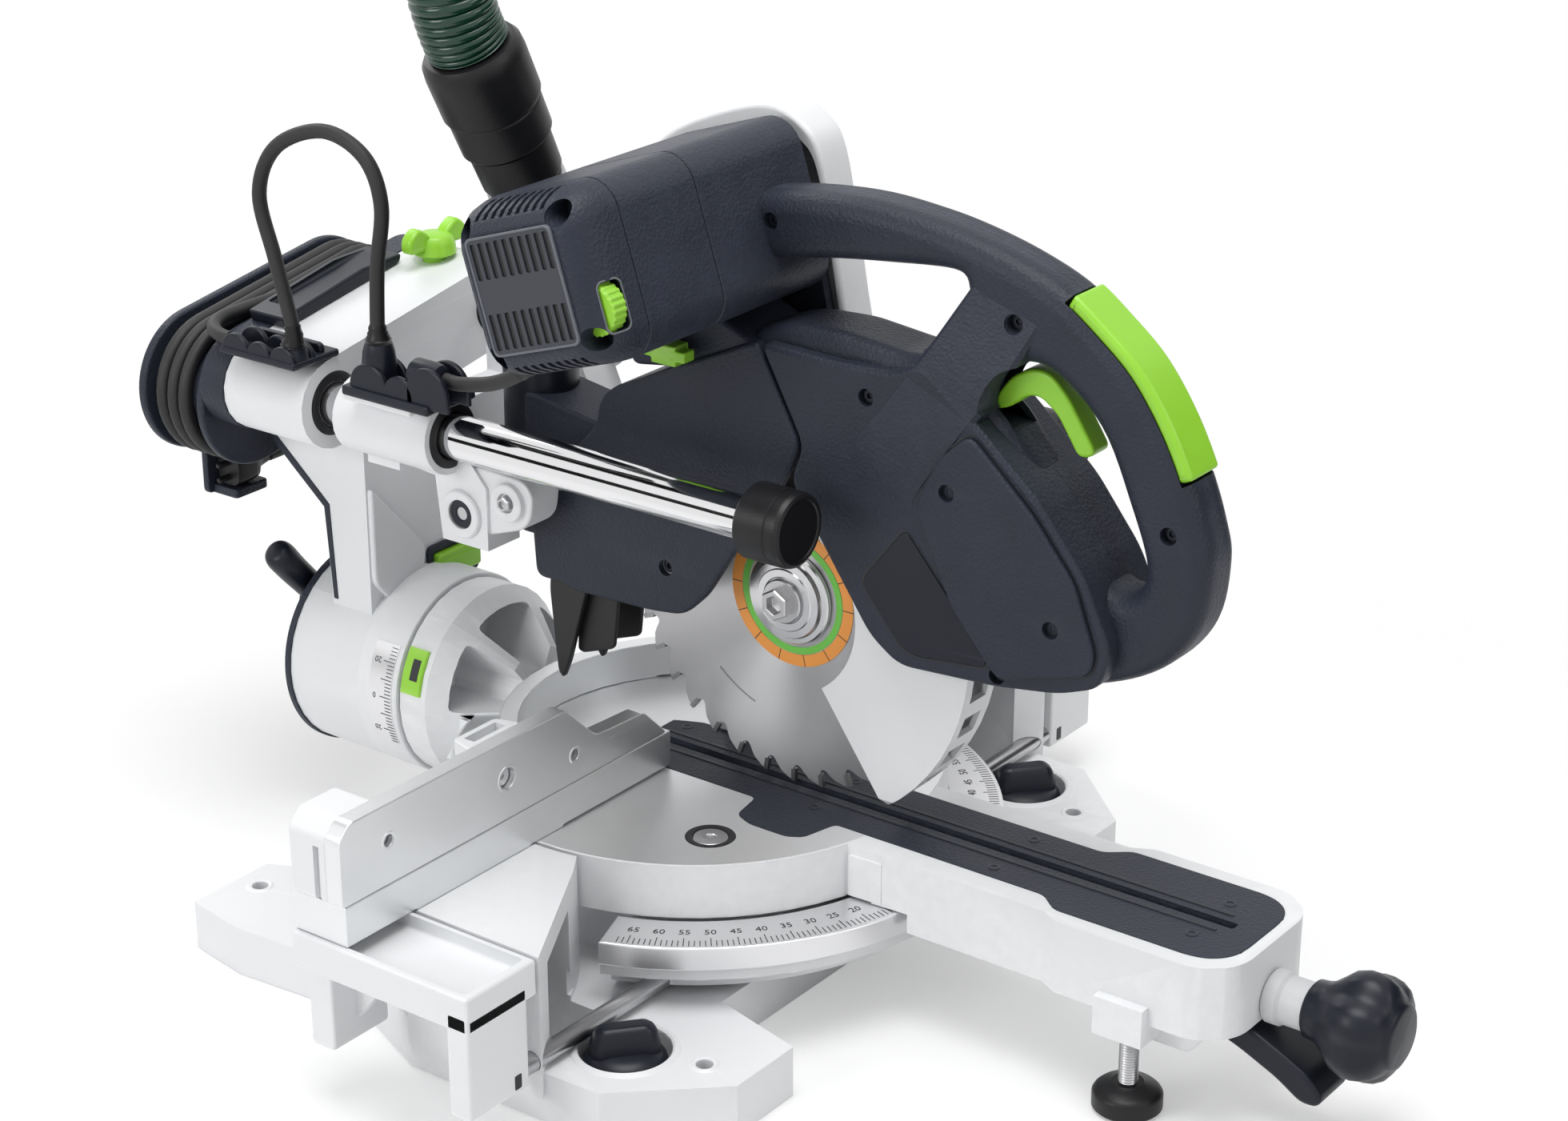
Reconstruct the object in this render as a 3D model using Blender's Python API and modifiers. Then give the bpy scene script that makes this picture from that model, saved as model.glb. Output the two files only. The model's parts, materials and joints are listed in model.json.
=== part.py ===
"""Sliding miter saw: base, turntable, tilting rail arm, sliding carriage and saw head.

Machine frame, in millimetres: X to the operator's right with 0 in the blade's plane, Y to the rear
with 0 at the fence's face, Z up with 0 at the table top. The root empty moves that frame so that
the saw stands on Z = 0 with its box centred on the origin.
"""
import math

import bmesh
import bpy
from mathutils import Matrix, Vector

MM = 0.001
GAP = 0.3

# Driving dimensions, in millimetres
ROOT_X = 0.0
ROOT_Y = 47.0
BENCH_Z = -95.0

BLADE_R = 108.0
BLADE_THICK = 2.6
BLADE_TEETH = 36
ARBOR = (-64.0, 109.0)
ARBOR_R = 14.7

MOTOR = (-14.0, 305.0)
MOTOR_HALF = 45.0
MOTOR_ROLL = 18.0
MOTOR_LEFT, MOTOR_SEAM, MOTOR_RIGHT = -150.0, -118.0, 28.0

DISC_R = 137.0
DISC_THICK = 30.0
HUB_R = 114.0
ARM_HALF, ARM_FRONT = 42.0, -358.0
SCALE_R = (138.5, 168.0)
SCALE_Z = (-44.0, -30.4)

TABLE_X = 229.0
TABLE_FRONT = -80.0
FOOT_TOP = -67.0
EXTENSION_X = 281.0

FENCE_THICK = 10.0
FENCE_LOW, FENCE_TOP = 22.0, 66.0
FENCE_END = 280.0
FENCE_INNER = 26.0
FENCE_LIFT = 0.4
FENCE_HOLES = ((246, 45), (160, 45), (105, 36))
SEAT_DEPTH = 1.0
BOW_R = (100.0, 110.0)

DRUM_R = 58.0
TILT_DRUM_R = 60.0
RAIL_R = 12.5
RAIL_LEFT = (-62.0, 177.0)
RAIL_RIGHT = (74.0, 200.0)
RAIL_FRONT_LEFT, RAIL_FRONT_RIGHT = -114.0, -192.0
RAIL_REAR = 278.0
CAP_R_LEFT, CAP_R_RIGHT, CAP_LENGTH = 20.0, 14.6, 28.0
HOUSING_Y = (205.0, 283.0)
SLEEVE_Y = (118.0, 186.0)
SLEEVE_R = 22.0
PIVOT = (115.0, 132.0)
PIVOT_R = 8.0

SPOOL_LEFT, SPOOL_RIGHT = (-46.0, 162.0), (60.0, 178.0)
SPOOL_CORE_R, SPOOL_FLANGE_R = 33.0, 42.0
SPOOL_Y = (283.4, 289.0, 330.0, 336.0)
CABLE_R = 4.0
CABLE_TURNS = 4
CABLE_POINTS = 20
LOOP_X = -84.0
PLUG_X, PLUG_Y, PLUG_Z = (-46.0, -6.0), (312.0, 329.2), (94.0, 114.0)
LEAD_GAP = 1.2
LEAD_Z = 209.0
LEAD_BEND, TAIL_BEND = 32.0, 40.0
CLIP_REAR = 260.0

CASING_HALF = 28.0
HANDLE_HALF = 17.0
POCKET_R, POCKET_HALF = 124.0, 24.0
GUARD_R, GUARD_HALF = 120.5, 14.0
DRIVEN_R, DRIVE_R = 26.0, 16.0
BELT_THICK = 3.0
BELT_GAP = 0.8

HOSE_R, HOSE_BORE_R, HOSE_RIBS = 22.0, 18.0, 14

KNOB_AXIS_Z = -30.0
FRONT_FOOT = (-40.0, -302.0)
CLAMP_KNOB = (184.0, -96.0)
FOOT_HOLES = ((172.0, -137.0), (171.0, 174.0))
FOOT_HOLE_R = 4.5
EXTENSION_ROD = (-74.0, -60.0)
EXTENSION_ROD_R = 5.0
INSERT_HALF, INSERT_Y, INSERT_DEPTH = 22.0, (-351.0, 36.0), 14.0
SLOT_HALF, SLOT_Y, SLOT_DEPTH = 3.0, (-336.0, 34.0), 9.0

# Finishes: linear colour, roughness, metallic
WHITE = ((0.78, 0.79, 0.80), 0.45, 0.0)
ALUMINIUM = ((0.66, 0.67, 0.68), 0.35, 1.0)
STEEL = ((0.55, 0.56, 0.57), 0.30, 1.0)
CHROME = ((0.80, 0.80, 0.80), 0.08, 1.0)
DARK = ((0.022, 0.025, 0.038), 0.55, 0.0)
BLACK = ((0.012, 0.012, 0.013), 0.60, 0.0)
LIME = ((0.31, 0.62, 0.05), 0.40, 0.0)
GREEN = ((0.01, 0.08, 0.05), 0.45, 0.0)
BRONZE = ((0.45, 0.30, 0.13), 0.40, 1.0)

# Where the joints turn or slide, in the machine frame
AXES = {
    "base": (0, 0, 0),
    "fence_left": (0, 0, FENCE_LOW),
    "fence_right": (0, 0, FENCE_LOW),
    "extension_left": (0, *EXTENSION_ROD),
    "extension_right": (0, *EXTENSION_ROD),
    "clamp_left": (-CLAMP_KNOB[0], CLAMP_KNOB[1], FOOT_TOP),
    "clamp_right": (CLAMP_KNOB[0], CLAMP_KNOB[1], FOOT_TOP),
    "turntable": (0, 0, 0),
    "miter_knob": (0, ARM_FRONT, KNOB_AXIS_Z),
    "detent_lever": (0, -346, -47),
    "front_foot": (*FRONT_FOOT, BENCH_Z),
    "tilt_arm": (0, 200, 0),
    "bevel_lever": (-30, 262, 34),
    "bevel_button": (27, 203, 66),
    "slide_lock": (60, 240, 222),
    "carriage": (0, 0, RAIL_LEFT[1]),
    "head": (0, *PIVOT),
    "blade": (0, *ARBOR),
    "rotor": (0, *MOTOR),
    "lower_guard": (0, *ARBOR),
    "trigger": (0, -220, 262),
    "safety_pad": (0, -280, 285),
    "speed_dial": (-131, -50, 300),
    "depth_stop": (-34, -11, 243),
}


def start_scene():
    """Empty the scene and make the collections and the axis empties."""
    for obj in list(bpy.data.objects):
        bpy.data.objects.remove(obj, do_unlink=True)
    scene = bpy.context.scene.collection
    parts = bpy.data.collections.new("sliding_miter_saw")
    tools = bpy.data.collections.new("cutters")
    scene.children.link(parts)
    scene.children.link(tools)
    root = bpy.data.objects.new("machine_frame", None)
    root.location = Vector((ROOT_X, ROOT_Y, -BENCH_Z)) * MM
    parts.objects.link(root)
    empties = {}
    for name, place in AXES.items():
        empty = bpy.data.objects.new(name + "_axis", None)
        empty.location = Vector(place) * MM
        empty.parent = root
        parts.objects.link(empty)
        empties[name] = empty
    return parts, tools, root, empties


PARTS, TOOLS, ROOT, EMPTIES = start_scene()


def tool_object(mesh):
    """A hidden object, until part() makes it a piece of the saw."""
    obj = bpy.data.objects.new("tool", mesh)
    obj.hide_render = True
    obj.display_type = "WIRE"
    obj.parent = ROOT
    TOOLS.objects.link(obj)
    return obj


def bm_object(bm):
    """An object from a bmesh in millimetres, with its faces turned outwards."""
    bmesh.ops.scale(bm, vec=(MM, MM, MM), verts=bm.verts)
    bmesh.ops.recalc_face_normals(bm, faces=bm.faces)
    mesh = bpy.data.meshes.new("tool")
    bm.to_mesh(mesh)
    bm.free()
    return tool_object(mesh)


def block(x, y, z):
    """A box between pairs of limits."""
    bm = bmesh.new()
    bmesh.ops.create_cube(bm, size=1.0)
    size = (x[1] - x[0], y[1] - y[0], z[1] - z[0])
    bmesh.ops.scale(bm, vec=size, verts=bm.verts)
    middle = ((x[0] + x[1]) / 2, (y[0] + y[1]) / 2, (z[0] + z[1]) / 2)
    bmesh.ops.translate(bm, vec=middle, verts=bm.verts)
    return bm_object(bm)


def rod(start, end, radius, sides=24, end_radius=None):
    """A round bar, or a cone with an end_radius, between two points."""
    a, b = Vector(start), Vector(end)
    bm = bmesh.new()
    bmesh.ops.create_cone(
        bm, cap_ends=True, segments=sides, radius1=radius,
        radius2=radius if end_radius is None else end_radius, depth=(b - a).length)
    turn = Vector((0, 0, 1)).rotation_difference(b - a).to_matrix().to_4x4()
    bmesh.ops.transform(bm, matrix=Matrix.Translation((a + b) / 2) @ turn, verts=bm.verts)
    return bm_object(bm)


def mesh_of(curve_obj, matrix):
    """The closed mesh of a curve or of a modified object, welded, moved and freed of it."""
    bpy.context.view_layer.update()
    evaluated = curve_obj.evaluated_get(bpy.context.evaluated_depsgraph_get())
    mesh = bpy.data.meshes.new_from_object(evaluated)
    bpy.data.objects.remove(curve_obj)
    bm = bmesh.new()
    bm.from_mesh(mesh)
    bpy.data.meshes.remove(mesh)
    bmesh.ops.remove_doubles(bm, verts=bm.verts, dist=0.001)
    bmesh.ops.transform(bm, matrix=matrix, verts=bm.verts)
    return bm_object(bm)


PLANES = {
    "X": Matrix(((0, 0, 1, 0), (1, 0, 0, 0), (0, 1, 0, 0), (0, 0, 0, 1))),
    "Y": Matrix(((1, 0, 0, 0), (0, 0, -1, 0), (0, 1, 0, 0), (0, 0, 0, 1))),
    "Z": Matrix.Identity(4),
}


def slab(axis, limits, outline, holes=()):
    """A flat outline, given in the two other axes in X, Y, Z order, as thick as the limits."""
    curve = bpy.data.curves.new("outline", "CURVE")
    curve.dimensions = "2D"
    curve.fill_mode = "BOTH"
    curve.extrude = (limits[1] - limits[0]) / 2
    for ring in (outline, *holes):
        spline = curve.splines.new("POLY")
        spline.points.add(len(ring) - 1)
        for point, (u, v) in zip(spline.points, ring):
            point.co = (u, v, 0, 1)
        spline.use_cyclic_u = True
    obj = bpy.data.objects.new("outline", curve)
    TOOLS.objects.link(obj)
    middle = (limits[0] + limits[1]) / 2
    shift = Matrix.Translation([middle if a == axis else 0 for a in "XYZ"])
    return mesh_of(obj, shift @ PLANES[axis])


def tube(points, radius, sides=2):
    """A round wire through points, with closed ends."""
    curve = bpy.data.curves.new("wire", "CURVE")
    curve.dimensions = "3D"
    curve.bevel_depth = radius
    curve.bevel_resolution = sides
    curve.use_fill_caps = True
    curve.render_resolution_u = 0
    spline = curve.splines.new("POLY")
    spline.points.add(len(points) - 1)
    for point, place in zip(spline.points, points):
        point.co = (*place, 1)
    obj = bpy.data.objects.new("wire", curve)
    TOOLS.objects.link(obj)
    return mesh_of(obj, Matrix.Identity(4))


def turned(start, direction, profile, sides=24):
    """A turned piece: (radius, distance along direction) pairs, spun about that direction."""
    bm = bmesh.new()
    verts = [bm.verts.new((r, 0, h)) for r, h in reversed(profile)]
    for a, b in zip(verts, verts[1:]):
        bm.edges.new((a, b))
    mesh = bpy.data.meshes.new("profile")
    bm.to_mesh(mesh)
    bm.free()
    obj = bpy.data.objects.new("profile", mesh)
    TOOLS.objects.link(obj)
    spin = obj.modifiers.new("spin", "SCREW")
    spin.steps = sides
    spin.render_steps = sides
    spin.use_merge_vertices = True
    spin.merge_threshold = 0.0001
    turn = Vector((0, 0, 1)).rotation_difference(Vector(direction)).to_matrix().to_4x4()
    return mesh_of(obj, Matrix.Translation(start) @ turn)


def boolean(obj, operation, tools):
    """Join tools to an object or cut them out of it, one modifier each."""
    for tool in tools:
        step = obj.modifiers.new(operation.lower(), "BOOLEAN")
        step.operation = operation
        step.solver = "EXACT"
        step.object = tool
    return obj


def join(obj, *tools):
    """The union of an object and tools."""
    return boolean(obj, "UNION", tools)


def cut(obj, *tools):
    """An object less tools."""
    return boolean(obj, "DIFFERENCE", tools)


def part(name, group, finish, obj):
    """Make an object a named piece of the saw, on its joint's axis empty, in its finish."""
    colour, roughness, metallic = finish
    material = bpy.data.materials.new(name + "_finish")
    material.use_nodes = True
    shader = material.node_tree.nodes["Principled BSDF"]
    shader.inputs["Base Color"].default_value = (*colour, 1)
    shader.inputs["Roughness"].default_value = roughness
    shader.inputs["Metallic"].default_value = metallic
    obj.data.materials.clear()
    obj.data.materials.append(material)
    obj.name = name
    obj.hide_render = False
    obj.display_type = "TEXTURED"
    TOOLS.objects.unlink(obj)
    PARTS.objects.link(obj)
    obj.parent = EMPTIES[group]
    obj.location = -EMPTIES[group].location
    obj.data.shade_smooth()
    obj.data.set_sharp_from_angle(angle=math.radians(35))
    return obj


def arc(centre, radius, start, end, steps):
    """Points on an arc, angles in degrees counted from the first axis."""
    points = []
    for i in range(steps + 1):
        a = math.radians(start + (end - start) * i / steps)
        points.append((centre[0] + radius * math.cos(a), centre[1] + radius * math.sin(a)))
    return points


def sector(centre, radii, start, end, steps):
    """The outline of a ring's sector."""
    outer = arc(centre, radii[1], start, end, steps)
    return outer + arc(centre, radii[0], end, start, steps)


def belt_outline(first, first_r, second, second_r, steps=10):
    """The outline round two circles and their outer tangents."""
    gap = Vector(second) - Vector(first)
    along = math.degrees(math.atan2(gap.y, gap.x))
    lean = math.degrees(math.acos((first_r - second_r) / gap.length))
    return (arc(second, second_r, along - lean, along + lean, steps)
            + arc(first, first_r, along + lean, along - lean + 360, steps))


def rounded_square(centre, half, corner, roll):
    """A square outline with round corners, rolled by some degrees."""
    points = []
    turn = Matrix.Rotation(math.radians(roll), 2)
    for quarter in range(4):
        sx = (1, -1, -1, 1)[quarter]
        sy = (1, 1, -1, -1)[quarter]
        middle = (sx * (half - corner), sy * (half - corner))
        points += arc(middle, corner, 90 * quarter, 90 * quarter + 90, 4)
    return [tuple(turn @ Vector(p) + Vector(centre)) for p in points]


def mirrored(points, side):
    """An outline drawn for the right side, on the right (1) or on the left (-1)."""
    return [(side * u, v) for u, v in points]


def smooth_path(points, steps):
    """Points on a smooth curve through the route's own points."""
    ends = [points[0]] + list(points) + [points[-1]]
    path = []
    for i in range(1, len(ends) - 2):
        p0, p1, p2, p3 = (Vector(p) for p in ends[i - 1:i + 3])
        for k in range(steps):
            t = k / steps
            path.append(0.5 * (2 * p1 + (p2 - p0) * t + (2 * p0 - 5 * p1 + 4 * p2 - p3) * t ** 2
                               + (3 * p1 - p0 - 3 * p2 + p3) * t ** 3))
    path.append(Vector(points[-1]))
    return path


SIDES = (("left", -1), ("right", 1))


def build_base():
    """Base casting, scale ring, fences, table extensions and clamp knobs."""
    half_plan = [(118, -106), (132, -162), (178, -162), (224, -112), (226, -60), (226, 12),
                 (205, 60), (212, 150), (205, 190), (150, 190), (100, 90)]
    plan = half_plan + [(-x, y) for x, y in reversed(half_plan)]
    casting = slab("Z", (BENCH_Z, FOOT_TOP), plan)
    join(casting, rod((0, 0, -80), (0, 0, -31), HUB_R, 24))
    join(casting, slab("Z", (-62, SCALE_Z[0] - GAP), sector((0, 0), (HUB_R - 6, 166), -160, -20, 16)))
    disc_edge = arc((0, 0), DISC_R + 2.5, -11, 4, 4)
    table = [(TABLE_X, FENCE_THICK), (TABLE_X, TABLE_FRONT), (150, -35.5)] + disc_edge
    for name, side in SIDES:
        join(casting, slab("Z", (-80, 0), mirrored(table, side)))
    for name, side in SIDES:
        x, y = side * CLAMP_KNOB[0], CLAMP_KNOB[1]
        cut(casting, rod((x, y, -80), (x, y, -60), 24))
        for hole_x, hole_y in FOOT_HOLES:
            cut(casting, rod((side * hole_x, hole_y, -100), (side * hole_x, hole_y, -60), FOOT_HOLE_R, 16))
        rod_y, rod_z = EXTENSION_ROD
        bore_r = EXTENSION_ROD_R + FENCE_LIFT
        cut(casting, rod((side * 34, rod_y, rod_z), (side * 240, rod_y, rod_z), bore_r, 16))
        cut(casting, block(sorted((side * 164, side * 216)), (-70, 0), (-100, -14)))
        seat_x = sorted((side * 130, side * (TABLE_X + 1)))
        cut(casting, block(seat_x, (-FENCE_LIFT, FENCE_THICK + 1), (-SEAT_DEPTH, 1)))
    cut(casting, rod((0, 0, -100), (0, 0, -20), 8.4, 24))
    part("base_casting", "base", WHITE, casting)
    ring = slab("Z", SCALE_Z, sector((0, 0), SCALE_R, -160, -20, 24))
    part("miter_scale", "base", ALUMINIUM, ring)

    fence_z = (FENCE_LIFT, FENCE_LOW)
    fence = slab("Z", fence_z, sector((0, 0), BOW_R, 2, 178, 20))
    for name, side in SIDES:
        join(fence, block(sorted((side * FENCE_INNER, side * 278)), (0, FENCE_THICK), fence_z))
        join(fence, block(sorted((side * 232, side * 278)), (5, 36), fence_z))
        foot_x = sorted((side * (DISC_R + 5), side * (TABLE_X - 1)))
        join(fence, block(foot_x, (0, FENCE_THICK), (GAP - SEAT_DEPTH, 1)))
    part("fixed_fence", "base", ALUMINIUM, fence)

    face = [(FENCE_END, FENCE_LOW + GAP), (FENCE_END, 58), (FENCE_END - 8, FENCE_TOP), (112, FENCE_TOP),
            (88, 43), (48, 41), (30, 23.5), (30, FENCE_LOW + GAP)]
    end_block = [(FENCE_END, FENCE_LOW + GAP), (FENCE_END, 58), (FENCE_END - 8, FENCE_TOP),
                 (FENCE_END - 34, FENCE_TOP), (FENCE_END - 46, FENCE_LOW + GAP)]
    for name, side in SIDES:
        plate = slab("Y", (0, FENCE_THICK), mirrored(face, side))
        join(plate, slab("Y", (5, 34), mirrored(end_block, side)))
        for x, z in FENCE_HOLES:
            cut(plate, rod((side * x, -1, z), (side * x, 12, z), 3.2, 12))
        part("sliding_fence_" + name, "fence_" + name, ALUMINIUM, plate)

        top = block(sorted((side * (TABLE_X + 1.4), side * EXTENSION_X)), (TABLE_FRONT, 36), (-20, 0))
        join(top, block(sorted((side * 238, side * EXTENSION_X)), (TABLE_FRONT, -66), (-68, -10)))
        join(top, block(sorted((side * 240, side * 279)), (12, 28), (-62, -10)))
        cut(top, block(sorted((side * 236, side * 276)), (-62, 0), (-21, -6)))
        rod_y, rod_z = EXTENSION_ROD
        join(top, rod((side * 40, rod_y, rod_z), (side * 270, rod_y, rod_z), EXTENSION_ROD_R, 16))
        part("table_extension_" + name, "extension_" + name, WHITE, top)

        x, y = side * CLAMP_KNOB[0], CLAMP_KNOB[1]
        knob = turned((x, y, -80 + GAP), (0, 0, 1), [(0, 0), (21, 0), (22, 3), (20, 11), (0, 12)], 24)
        join(knob, block((x - 15.5, x + 15.5), (y - 5, y + 5), (-72, -52)))
        part("clamp_knob_" + name, "clamp_" + name, DARK, knob)


def build_turntable():
    """Turntable with its arm and drum, kerf insert, pivot bolt, knob, detent lever and front foot."""
    table = rod((0, 0, -DISC_THICK), (0, 0, 0), DISC_R, 56)
    half_arm = [(ARM_HALF, -100), (ARM_HALF, -250), (48, -262), (48, -340), (34, ARM_FRONT)]
    arm_plan = half_arm + [(-x, y) for x, y in reversed(half_arm)]
    arm = slab("Z", (-40, 0), arm_plan)
    cut(arm, rod((0, 0, -60), (0, 0, -29.4), 174, 40))
    join(table, arm)
    x, y = FRONT_FOOT
    join(table, block((x - 14, x + 12), (y - 14, y + 14), (-51, -30)))
    join(table, block((-46, 46), (90, 188), (-DISC_THICK, -2)))
    cone = [(0, 0), (30, 0), (46, 18), (DRUM_R, 34), (DRUM_R, 78), (0, 78)]
    join(table, turned((0, 118, 0), (0, 1, 0), cone, 32))
    cut(table, block((-INSERT_HALF, INSERT_HALF), INSERT_Y, (-INSERT_DEPTH, 2)))
    cut(table, rod((x, y, -60), (x, y, -1.5), 5.4, 16))
    cut(table, rod((-78, -70, -3), (-78, -70, 1), 12, 24))
    part("turntable", "turntable", WHITE, table)

    half, (front, rear) = INSERT_HALF - GAP, INSERT_Y
    insert = block((-half, half), (front + GAP, rear - GAP), (GAP - INSERT_DEPTH, 0))
    cut(insert, block((-SLOT_HALF, SLOT_HALF), SLOT_Y, (-SLOT_DEPTH, 1)))
    part("kerf_insert", "turntable", DARK, insert)
    bolt = rod((0, 0, -90), (0, 0, -DISC_THICK - GAP), 8)
    part("pivot_bolt", "turntable", STEEL, bolt)

    start = -ARM_FRONT + GAP
    profile = [(0, start), (8, start), (8, 381), (15, 384), (26, 396), (29, 408), (27, 420), (18, 428),
               (0, 430)]
    part("miter_knob", "miter_knob", DARK, turned((0, 0, KNOB_AXIS_Z), (0, -1, 0), profile))
    lever = slab("X", (-15, 15), [(-338, -44.5), (-352, -43), (-388, -62), (-396, -72), (-384, -76),
                                  (-350, -58), (-336, -53)])
    part("detent_lever", "detent_lever", DARK, lever)
    profile = [(0, 0), (18, 0), (18, 8), (16, 13), (5, 14), (5, 80), (0, 80)]
    part("front_foot", "front_foot", BLACK, turned((x, y, BENCH_Z), (0, 0, 1), profile))


def build_tilt_arm():
    """Tilt arm, rails and caps, rear cover, top tray, bevel lever and button, slide lock knob."""
    y0, y1 = HOUSING_Y
    arm = rod((0, 200, 0), (0, 260, 0), TILT_DRUM_R, 36)
    column = [(y0, 20), (y0, 165), (y1, 165), (y1, 140), (262, 122), (238, 102), (234, 20)]
    join(arm, slab("X", (-ARM_HALF, ARM_HALF), column))
    shell = belt_outline(RAIL_LEFT, 26, RAIL_RIGHT, 25.9)
    join(arm, slab("Y", HOUSING_Y, shell))
    for x, z in (RAIL_LEFT, RAIL_RIGHT):
        cut(arm, rod((x, y0 - 5, z), (x, RAIL_REAR + 1, z), RAIL_R + GAP, 24))
    cut(arm, block((8, 46), (198, 226), (47, 65)))
    cut(arm, rod((60, 240, 213), (60, 240, 240), 7, 16))
    part("tilt_arm", "tilt_arm", WHITE, arm)

    rails = (("left", RAIL_LEFT, RAIL_FRONT_LEFT, CAP_R_LEFT),
             ("right", RAIL_RIGHT, RAIL_FRONT_RIGHT, CAP_R_RIGHT))
    for name, (x, z), front, cap_r in rails:
        bar = rod((x, front + 12, z), (x, RAIL_REAR, z), RAIL_R, 24)
        part("rail_" + name, "tilt_arm", CHROME, bar)
        cap = turned((x, front, z), (0, 1, 0), [(0, 0), (cap_r - 3, 0), (cap_r, 3), (cap_r, CAP_LENGTH),
                                                (0, CAP_LENGTH)], 24)
        cut(cap, rod((x, front + 12 - GAP, z), (x, 0, z), RAIL_R + GAP, 24))
        part("rail_cap_" + name, "tilt_arm", BLACK, cap)

    flange = belt_outline(SPOOL_LEFT, SPOOL_FLANGE_R, SPOOL_RIGHT, SPOOL_FLANGE_R - 0.1)
    core = belt_outline(SPOOL_LEFT, SPOOL_CORE_R, SPOOL_RIGHT, SPOOL_CORE_R - 0.1)
    f0, f1, f2, f3 = SPOOL_Y
    cover = slab("Y", (f0, f1), flange)
    join(cover, slab("Y", (f1 - 2, f2 + 2), core), slab("Y", (f2, f3), flange))
    join(cover, block((-44, -10), (f3 - 5, f3), (88, 150)))
    join(cover, block((-40, -14), (PLUG_Y[0], f3 - 2), (88, PLUG_Z[0] - GAP)))
    part("rear_cover", "tilt_arm", DARK, cover)

    clip = block((LOOP_X - 10, -58), (203, CLIP_REAR), (204.5, 214))
    part("rear_cable_clip", "tilt_arm", DARK, clip)
    tray = slab("Y", (254, 282), [(-48, 205.8), (46, 221.7), (48, 227.5), (16, 226), (-50, 213)])
    part("top_tray", "tilt_arm", DARK, tray)

    lever = tube([(-16, 271, 28), (-28, 271, 42), (-40, 272, 56), (-48, 273, 66)], 9)
    join(lever, rod((-16, 260 + GAP, 28), (-16, 278, 28), 13, 24))
    part("bevel_lever", "bevel_lever", DARK, lever)
    button = block((9, 45), (198, 214), (48, 64))
    part("bevel_button", "bevel_button", LIME, button)
    knob = turned((60, 240, 213.5), (0, 0, 1),
                  [(0, 0), (6.6, 0), (6.6, 13.2), (13, 14), (11, 24), (0, 25)], 20)
    join(knob, block((36, 84), (236, 244), (230, 246)))
    part("slide_lock_knob", "slide_lock", LIME, knob)


def build_carriage():
    """Carriage with its bushes, pivot shaft and cable clip."""
    y0, y1 = SLEEVE_Y
    (lx, lz), (rx, rz) = RAIL_LEFT, RAIL_RIGHT
    body = rod((lx, y0, lz), (lx, y1, lz), SLEEVE_R, 24)
    join(body, rod((rx, y0, rz), (rx, y1, rz), SLEEVE_R, 24))
    low = 114
    left_plate = [(97, low), (97, 150), (y0 + 2, lz), (y1, lz), (y1, 154), (134, 150), (130, low)]
    right_plate = [(97, low), (97, 150), (y0 + 2, rz), (y1, rz), (y1, low)]
    join(body, slab("X", (-60, -34), left_plate), slab("X", (42, 68), right_plate))
    join(body, block((-59, 67), (161, y1 - 1), (146, 172)))
    for x, z in (RAIL_LEFT, RAIL_RIGHT):
        cut(body, rod((x, y0 - 25, z), (x, y1 + 5, z), 15.3, 24))
    pivot_y, pivot_z = PIVOT
    cut(body, rod((-70, pivot_y, pivot_z), (72, pivot_y, pivot_z), PIVOT_R + GAP, 24))
    part("carriage", "carriage", WHITE, body)
    for name, (x, z) in (("left", RAIL_LEFT), ("right", RAIL_RIGHT)):
        bush = rod((x, y0 + 2, z), (x, y1 - 2, z), 15, 24)
        cut(bush, rod((x, y0 - 5, z), (x, y1 + 5, z), RAIL_R + GAP, 24))
        part("slide_bush_" + name, "carriage", BRONZE, bush)
    shaft = rod((-60, pivot_y, pivot_z), (66, pivot_y, pivot_z), PIVOT_R, 24)
    part("pivot_shaft", "carriage", STEEL, shaft)
    clip = block((LOOP_X - 12, -56), (102, 164), (200, 212))
    join(clip, block((LOOP_X - 10, LOOP_X + 10), (136, 160), (208, 230)))
    join(clip, block((LOOP_X - 10, LOOP_X + 10), (102, 118), (208, 226)))
    part("carriage_clip", "carriage", DARK, clip)


def motor_envelope(spread=0.0):
    """The space that the motor takes, from its end cap to the belt housing."""
    outline = rounded_square(MOTOR, MOTOR_HALF + spread, 18 + spread, -MOTOR_ROLL)
    return slab("X", (MOTOR_LEFT - spread, MOTOR_RIGHT + spread), outline)


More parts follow.
